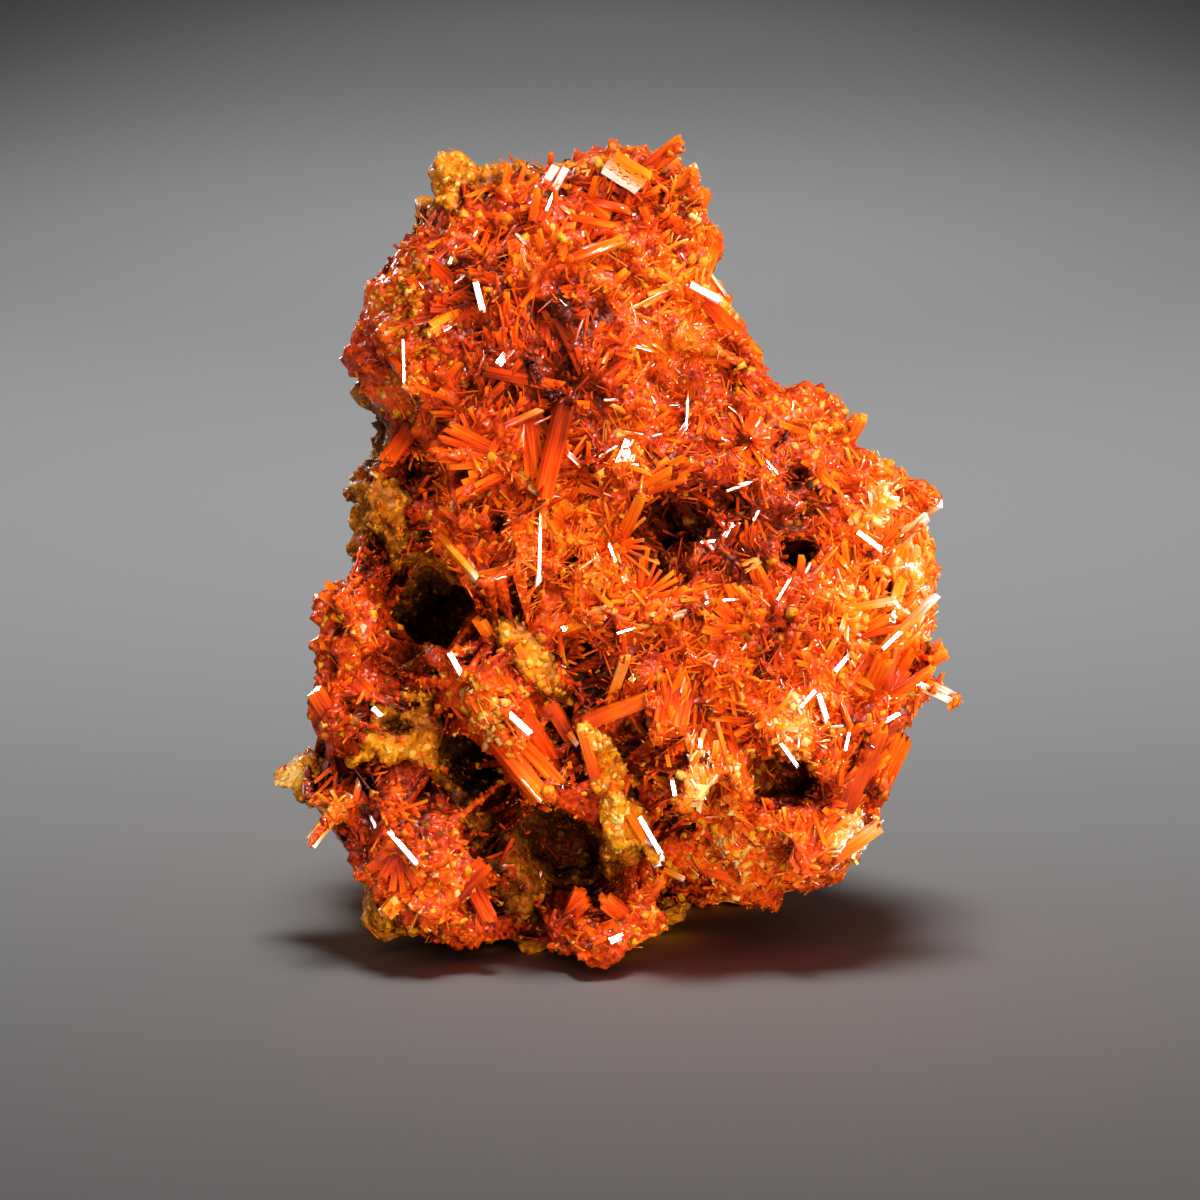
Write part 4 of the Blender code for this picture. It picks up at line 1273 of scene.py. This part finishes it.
def shape_face(item, solids):
    """Pushes a bed in, away from the eye, where the face has hollows, fills it out where the
    face is level between its crystals, and fits its outline."""
    points = points_of(item.data)
    columns, rows = grid_of(points)
    depths = (points - np.array(EYE)) @ np.array(AWAY)

    def face_depth(column, row):
        return (solids.ray_cast(EYE, sight(column, row))[0] - EYE).dot(AWAY)

    def weight_in(oval, edge, fade):
        return np.clip((edge - reach_from(columns, rows, *oval)) / fade, 0, 1)

    moved = np.zeros(len(points))
    for *oval, depth in DENTS.values():
        near = np.clip(1.6 - (depths - face_depth(*oval[:2])) / DENT_BEHIND, 0, 1)
        moved = np.maximum(moved, weight_in(oval, *DENT_EDGE) * near * depth * MM)
    for *oval, by_column, by_row, behind in FILLS.values():
        level = face_depth(by_column, by_row) + behind * MM
        near = np.clip(1.5 - (depths - level) / FILL_BEHIND, 0, 1)
        filled = np.clip(depths + moved - level, 0, DEEPEST_FILL)
        moved -= filled * weight_in(oval, *FILL_EDGE) * near
    points += moved[:, None] * np.array(AWAY)
    for *oval, growth in OUTLINE.values():
        way = RIGHT * (oval[0] - GRID_SIDE / 2) + UP * (GRID_SIDE / 2 - oval[1])
        step = weight_in(oval, *OUTLINE_EDGE) * growth * MM
        points += step[:, None] * np.array(way.normalized())
    move_points(item.data, points)


# Where a point looks for open sky: the lean off its normal and the turn round it, in radians.
SKY_WAYS = (
    (0.0, 0.0),
    *((0.6, i * math.tau / 4) for i in range(4)),
    *((1.1, (i + 0.5) * math.tau / 5) for i in range(5)),
)


def openness(item, everything):
    """For each point of a bed, the share of its sky that is open."""
    points, normals = skin_of(item)
    helper = np.where(np.abs(normals[:, 2:]) < 0.9, (0.0, 0.0, 1.0), (1.0, 0.0, 0.0))
    side = np.cross(normals, helper)
    side /= np.linalg.norm(side, axis=1)[:, None]
    front = np.cross(normals, side)
    starts = [Vector(point) for point in points + normals * SKY_START]
    free = np.zeros(len(points))
    for lean, turn in SKY_WAYS:
        level = side * math.cos(turn) + front * math.sin(turn)
        directions = normals * math.cos(lean) + level * math.sin(lean)
        for i, direction in enumerate(directions):
            free[i] += everything.ray_cast(starts[i], Vector(direction), SKY_REACH)[0] is None
    return free / len(SKY_WAYS) * (1 - stored(item.data, "seated"))


def paint(item, base, places, sky):
    """Writes what grows where on a bed."""
    points, normals = skin_of(item)
    columns, rows = grid_of(points)
    facing = -(normals @ np.array(AWAY))
    # Places on the face don't reach round to the back.
    seen = np.clip(0.5 + facing * 2, 0, 1)
    values = {key: np.full(len(points), value, float) for key, value in base.items()}

    def flow_of(degrees):
        turn = math.radians(degrees)
        return np.array(RIGHT * math.cos(turn) + UP * math.sin(turn))

    flow = np.tile(flow_of(base["flow"]), (len(points), 1))
    for column, row, across, up, changes in places.values():
        reach = np.hypot((columns - column) / across, (rows - row) / up)
        weight = np.clip(1.7 - reach * 1.2, 0, 1) * seen
        for key, value in changes.items():
            if key == "flow":
                flow += (flow_of(value) - flow) * weight[:, None]
            else:
                values[key] += (value - values[key]) * weight
    # Nothing grows in closed hollows or on the foot, little on thin parts, and fewer and
    # smaller crystals where the surface turns its side to the eye.
    room = np.clip((sky - 0.05) / 0.30, 0, 1)
    room[(points[:, 2] < 3 * MM) & (normals[:, 2] < 0.2)] = 0
    room *= np.clip(stored(item.data, "thick") / (3 * MM) - 0.2, 0.15, 1)
    rim = np.clip((np.abs(facing) - 0.05) * 1.7, 0.45, 1)
    for key, share in (("laths", rim), ("needles", rim), ("druse", 1), ("grains", 1)):
        store(item.data, key, values[key] * room * share)
    store(item.data, "hue", values["hue"])
    store(item.data, "coarse", values["coarse"] * np.clip(0.3 + np.abs(facing) * 1.1, 0.35, 1))
    store(item.data, "fan", values["spread"] / 180)
    store(item.data, "flow", flow, "FLOAT_VECTOR")
    # The openness that the finishes paint as shade in hollows; seams get a middling value, so that
    # they aren't painted dark.
    store(item.data, "open", np.where(stored(item.data, "seated") > 0, SEAT_OPEN, sky))


def shorten(item, everything, stand, seed):
    """Shortens the crystals whose tips stand too far off every bed."""
    points = points_of(item.data)
    along = stored(item.data, "along")
    _, crystal = np.unique(stored(item.data, "crystal"), return_inverse=True)
    count = crystal.max() + 1

    def middles(chosen):
        number = np.maximum(np.bincount(crystal[chosen], minlength=count), 1)
        sums = [np.bincount(crystal[chosen], points[chosen, i], count) for i in range(3)]
        return np.stack(sums, 1) / number[:, None]

    roots, tips = middles(along < 0.05), middles(along > 0.75)
    stands = np.random.default_rng(seed).uniform(0.5, 1.5, count) * stand
    cut = np.zeros(count)
    for i, tip in enumerate(tips):
        nearest, normal, _, distance = everything.find_nearest(Vector(tip))
        # Less is allowed where the surface turns its side to the eye.
        allowed = stands[i] * (0.4 + 0.6 * abs(normal.dot(AWAY)))
        if distance > allowed and normal.dot(Vector(tip) - nearest) > 0:
            cut[i] = 1 - allowed / distance
    points -= (tips - roots)[crystal] * (cut[crystal] * along)[:, None]
    move_points(item.data, points)


# What a bed tells its growth, and the finished growth doesn't keep.
GROWTH_VALUES = (*KINDS, "coarse", "fan", "flow", "outward", "crystal", "seated", "thick")


def grow(bed_name, kind_name, bed, growth, forms, finish, everything):
    """One kind of growth over a bed, as an object of its own."""
    kind = KINDS[kind_name]
    made = in_scene(f"{bed_name}_{kind_name}", bed.data.copy())
    density = kind["on_mm2"] / MM**2
    settings = {
        "Forms": forms[kind["forms"]],
        "Form Count": len(FORMS[kind["forms"]]) - 0.001,
        "Density": density,
        "Kind": kind_name,
        "Seed": kind["seed"],
        "Shortest": kind["length"][0] * MM,
        "Longest": kind["length"][1] * MM,
        "Thinnest": kind["width"][0] * MM,
        "Thickest": kind["width"][1] * MM,
        "Flattest": math.radians(kind["rise"][0]),
        "Steepest": math.radians(kind["rise"][1]),
        "Sink": -kind["sink"] * MM,
        "Stray": math.radians(kind["stray"]),
        "Fan Size": kind["fan"] * MM,
        "Hue Shift": kind["hue"][0],
        "Hue Stray": kind["hue"][1],
        "Finish": finish,
    }
    run_tree(made, growth, settings)
    if kind["stand"] and made.data.vertices:
        shorten(made, everything, kind["stand"] * MM, kind["seed"])
    for old in GROWTH_VALUES:
        layer = made.data.attributes.get(old)
        if layer:
            made.data.attributes.remove(layer)
    keep_in_box(made)
    return made


# Single crystals


def add_strand(bm, layers, ends, sides, width, thickness, slants, hue, polish=0.0):
    """One four-sided strand from root to tip, with its sides along two directions."""
    root, tip = ends
    across, up = sides
    made = bmesh.new()
    add_prism(made, SQUARE, slants, STRAND_TAPER)
    corners = {}
    for vert in made.verts:
        x, y, z = vert.co
        place = root + (tip - root) * z + across * x * width + up * y * thickness
        corners[vert] = bm.verts.new(place)
        for layer, value in zip(layers, (hue, z, MIDDLE_OPEN, turns_round(x, y), polish)):
            corners[vert][layer] = value
    for face in made.faces:
        bm.faces.new([corners[vert] for vert in face.verts])
    made.free()


def side_ways(axis, towards):
    """The two directions square to a crystal's axis, the second one as near as it can be
    to the direction given."""
    up = (towards - axis * towards.dot(axis)).normalized()
    return up.cross(axis), up


def lath_ends(tree, column, row, tip_column, tip_row, lift):
    """A lath's root, a little under the face, and its tip, a little off it."""
    way, tip_way = sight(column, row), sight(tip_column, tip_row)
    root = tree.ray_cast(EYE, way)
    tip = tree.ray_cast(EYE, tip_way)
    if root[0] is None:
        return None
    reach = root[3]
    follows = tip[0] is not None and tip[3] < reach + LATH_FOLLOWS
    tip_reach = tip[3] if follows else reach
    tip_reach -= (lift * LATH_LIFT - 0.2) * MM
    return EYE + way * (reach + LATH_ROOT), EYE + tip_way * tip_reach


def add_lath(bm, layers, ends, width, thickness, hue, chance):
    """A single crystal built of parallel strands, which end unevenly as its striations do."""
    root, tip = ends
    axis = (tip - root).normalized()
    tilt = Vector([chance.uniform(-0.4, 0.4) for _ in range(3)])
    across, up = side_ways(axis, (-AWAY + tilt).normalized())
    strands = max(1, round(width / STRAND_WIDTH))
    each = width / strands
    for i in range(strands):
        offset = across * (i - (strands - 1) / 2) * each * 0.95 * MM
        rise = up * chance.uniform(-0.1, 0.1) * thickness * MM
        short = (tip - root) * (chance.uniform(0.0, 0.12) if strands > 1 else 0.0)
        span = (root + offset + rise, tip + offset + rise - short)
        slants = [chance.choice((0.0, 0.0, 0.04, 0.09)) for _ in SQUARE]
        deep = thickness * chance.uniform(0.85, 1.1) * MM
        shade = hue + chance.uniform(-0.03, 0.03)
        add_strand(bm, layers, span, (across, up), each * 1.03 * MM, deep, slants, shade)


def add_bright_face(bm, layers, tree, column, row, tip_column, tip_row, width, lamp, chance):
    """A thin crystal with a smooth face that mirrors one lamp to the eye."""
    start = tree.ray_cast(EYE, sight(column, row))
    if start[0] is None:
        return
    root = EYE + sight(column, row) * (start[3] - 0.7 * MM)
    glance = ((lamp - root).normalized() + (EYE - root).normalized()).normalized()
    tip_way = sight(tip_column, tip_row)
    tip = EYE + tip_way * ((root - EYE).dot(glance) / tip_way.dot(glance))
    axis = (tip - root).normalized()
    across, up = side_ways(axis, glance)
    width *= BRIGHT_WIDTH * MM
    for side in BRIGHT_SIDES:
        slants = [chance.choice((0.0, 0.0, 0.05)) for _ in SQUARE]
        offset = across * side * width
        ends = (root - axis * 0.6 * MM + offset, tip + offset - axis * chance.uniform(0, 0.6) * MM)
        add_strand(bm, layers, ends, (across, up), width, width * 1.6, slants, BRIGHT_HUE, 1.0)


def add_fan(bm, layers, tree, fan, chance):
    """Crystals that radiate over the face from one point."""
    column, row, first, last, shortest, longest, count, width, hue, lift = fan
    for i in range(count):
        turn = math.radians(first + (last - first) * (i + chance.uniform(0.2, 0.8)) / count)
        reach = chance.uniform(shortest, longest) * MM / GRID_STEP
        start = 0.08 * reach
        ends = lath_ends(
            tree,
            column + start * math.cos(turn),
            row - start * math.sin(turn),
            column + reach * math.cos(turn),
            row - reach * math.sin(turn),
            lift * chance.uniform(0.5, 1.5),
        )
        if ends:
            across = width * chance.uniform(0.6, 1.3)
            shade = hue + chance.uniform(-0.12, 0.02)
            add_lath(bm, layers, ends, across, across * 0.8, shade, chance)


# What a finish reads on a single crystal.
SINGLE_VALUES = ("hue", "along", "open", "around", "polish")


def new_single():
    """An empty mesh and its layers for those values."""
    bm = bmesh.new()
    return bm, [bm.verts.layers.float.new(key) for key in SINGLE_VALUES]


def single_crystals(name, tree):
    """The laths, fans and bright faces that stand in places of their own."""
    chance = random.Random(7)
    bm, layers = new_single()
    for column, row, tip_column, tip_row, lift, width, thickness, hue in LATHS:
        ends = lath_ends(tree, column, row, tip_column, tip_row, lift)
        if ends:
            slim = LATH_SLIM if hue < PALE_HUE else PALE_SLIM
            shade = hue - LATH_DARKER
            add_lath(bm, layers, ends, width * slim, thickness * slim, shade, chance)
    for fan in FANS.values():
        add_fan(bm, layers, tree, fan, chance)
    # Two in three mirror the key lamp, and the third one the top lamp.
    for number, bright in enumerate(BRIGHT_FACES):
        _, way, distance, *_ = LAMPS[0 if number % 3 else 1]
        add_bright_face(bm, layers, tree, *bright, lamp_place(way, distance), chance)
    return mesh_object(name, bm)


def pitted_plate(name, tree):
    """A pale cleavage plate on the crown, eaten into small dark pits."""
    chance = random.Random(19)
    corner, along_edge, down_edge = (sight(*spot) for spot in PLATE_CORNERS)
    reach = tree.ray_cast(EYE, sight(*PLATE_MIDDLE))[3] - 0.9 * MM
    origin = EYE + corner * reach
    along = EYE + along_edge * (reach + 0.5 * MM) - origin
    down = EYE + down_edge * (reach - 1.0 * MM) - origin
    normal = down.cross(along).normalized()
    if normal.dot(AWAY) > 0:
        normal = -normal
    pits = [(chance.uniform(0.10, 0.95), chance.uniform(0.20, 0.95), chance.uniform(0.02, 0.045))
            for _ in range(PLATE_PITS)]
    bm, layers = new_single()
    cells = PLATE_CELLS
    verts = {}
    for skin, depth in enumerate((0.0, -PLATE_THICKNESS)):
        for i in range(cells + 1):
            for j in range(cells + 1):
                u, v = i / cells, j / cells
                pit = max(max(0.0, 1 - math.hypot(u - a, v - b) / r) for a, b, r in pits)
                pit = 0.0 if skin else min(1.0, pit * 1.8)
                ragged = 0.02 * math.sin(9 * u + 4) + 0.02 * math.sin(13 * v + 1)
                place = origin + along * (u + ragged * v) + down * (v - ragged * u)
                vert = bm.verts.new(place + normal * (depth - pit * PIT_DEPTH))
                bands = 0.03 * math.sin(30 * v + 3 * u)
                # Painted shade: the plate is painted darker towards the side down from its near
                # corner. Its pits are painted darker as well.
                hue = 0.99 + bands - 0.35 * max(0.0, v - 0.2) - 0.80 * pit
                for layer, value in zip(layers, (hue, MIDDLE_ALONG, MIDDLE_OPEN, 0.3 * v, 0.5)):
                    vert[layer] = value
                verts[skin, i, j] = vert

    for i in range(cells):
        for j in range(cells):
            square = ((i, j), (i + 1, j), (i + 1, j + 1), (i, j + 1))
            bm.faces.new([verts[0, a, b] for a, b in square])
            bm.faces.new([verts[1, a, b] for a, b in reversed(square)])
    rim = [(i, 0) for i in range(cells)] + [(cells, j) for j in range(cells)]
    rim += [(i, cells) for i in range(cells, 0, -1)] + [(0, j) for j in range(cells, 0, -1)]
    for (i, j), (k, m) in zip(rim, rim[1:] + rim[:1]):
        bm.faces.new((verts[0, k, m], verts[0, i, j], verts[1, i, j], verts[1, k, m]))
    bmesh.ops.recalc_face_normals(bm, faces=bm.faces)
    return mesh_object(name, bm)


# The studio


def lamp_place(way, distance):
    return SPECIMEN_MIDDLE + face_way(*way) * distance


def place_lamp(name, data, where, aim, lit, glints=True):
    """Stands a lamp in the studio, out of the camera's sight, to light one group only."""
    item = in_scene(name, data)
    item.location = where
    item.rotation_mode = "QUATERNION"
    item.rotation_quaternion = (Vector(aim) - Vector(where)).to_track_quat("-Z", "Y")
    item.visible_camera = False
    item.visible_glossy = glints
    item.light_linking.receiver_collection = lit


def add_lamp(name, way, distance, size, power, colour, glints, lit):
    """A soft rectangular lamp on the specimen."""
    data = bpy.data.lights.new(name, "AREA")
    data.shape = "RECTANGLE"
    data.size, data.size_y = size
    data.energy = power
    data.color = colour
    data.spread = LAMP_BEAM
    place_lamp(name, data, lamp_place(way, distance), SPECIMEN_MIDDLE, lit, glints)


def add_pool(name, where, aim, beam, power, lit):
    """A round pool of light on the paper, fading to its edge."""
    data = bpy.data.lights.new(name, "SPOT")
    data.energy = power
    data.spot_size = math.radians(beam)
    data.spot_blend = 1.0
    data.shadow_soft_size = POOL_LAMP_RADIUS
    place_lamp(name, data, where, aim, lit)


def new_lit_group(name):
    made = bpy.data.collections.new(name)
    bpy.context.scene.collection.children.link(made)
    return made


def sweep():
    """A floor that curves up into a backdrop, well clear of the specimen all round."""
    bm = bmesh.new()
    reach, flat, bend, top, steps = 6.0, 1.4, 0.6, 2.4, 12
    profile = [(-reach, 0.0), (flat, 0.0)]
    for i in range(1, steps + 1):
        turn = math.radians(90 * i / steps)
        profile.append((flat + bend * math.sin(turn), bend - bend * math.cos(turn)))
    profile.append((flat + bend, top))
    rows = [[bm.verts.new((x, y, z)) for y, z in profile] for x in (-reach, reach)]
    for i in range(len(profile) - 1):
        face = bm.faces.new((rows[0][i], rows[1][i], rows[1][i + 1], rows[0][i + 1]))
        face.smooth = True
    item = mesh_object("studio_sweep", bm)
    made, group, shader = new_material("pale_paper")
    grey = (PAPER_GREY, PAPER_GREY, PAPER_GREY, 1)
    feed_node(group, shader, Base_Color=grey, Roughness=0.9, Specular_IOR_Level=0.1)
    item.data.materials.append(made)
    return item


def add_camera():
    """A camera at the eye that takes in the whole face grid."""
    data = bpy.data.cameras.new("face_view")
    data.lens = data.sensor_width * VIEW_DISTANCE / (GRID_SIDE * GRID_STEP)
    data.clip_start = 0.01
    camera = in_scene("face_view", data)
    camera.location = EYE
    camera.rotation_mode = "QUATERNION"
    camera.rotation_quaternion = AWAY.to_track_quat("-Z", "Y")
    bpy.context.scene.camera = camera


def build_studio(specimen, paper):
    """The paper sweep under its pools of light, and the lamps on the specimen."""
    paper.objects.link(sweep())
    for lamp in LAMPS:
        add_lamp(*lamp, specimen)
    for pool in POOLS:
        add_pool(*pool, paper)
    world = bpy.data.worlds.new("studio_air")
    world.use_nodes = True
    air = world.node_tree.nodes["Background"]
    air.inputs["Color"].default_value = (1, 1, 1, 1)
    air.inputs["Strength"].default_value = AIR_GLOW
    bpy.context.scene.world = world
    add_camera()
    bpy.context.scene.view_settings.view_transform = "Standard"


# The specimen


def settle(item, specimen):
    """Makes a finished piece part of the specimen."""
    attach(item, "root")
    specimen.objects.link(item)


def main():
    specimen, paper = new_lit_group("specimen"), new_lit_group("paper")
    build_studio(specimen, paper)
    solids = tree_of(frame["nodes"].values())
    growth, weathering = growth_tree(), weather_tree()
    crystal, crust, rock = crystal_finish(), crust_finish(), rock_finish()
    forms = {name: new_forms(name) for name in FORMS}

    beds = {}
    rock_bed = None
    for name in sorted(frame["nodes"], key=lambda name: name != ROCK_NODE):
        wear, finish = (CRUST_WEAR, crust) if rock_bed else (ROCK_WEAR, rock)
        beds[name] = make_bed(name, weathering, wear, finish, solids, rock_bed)
        rock_bed = rock_bed or tree_of([beds[name]])
    everything = tree_of(beds.values())

    for name, bed in beds.items():
        paint(bed, *BED_PAINT.get(name, (CRUST_GROWTH, PLACES)), openness(bed, everything))
        for kind_name, kind in KINDS.items():
            finish = rock if kind["slot"] == "gossan" else crystal
            made = grow(name, kind_name, bed, growth, forms, finish, everything)
            settle(made, specimen)
        settle(bed, specimen)
        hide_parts(name)

    for name, make in (("single_crystals", single_crystals), ("crown_plate", pitted_plate)):
        made = make(name, everything)
        made.data.materials.append(crystal)
        settle(made, specimen)
    for group in forms.values():
        drop_forms(group)


main()
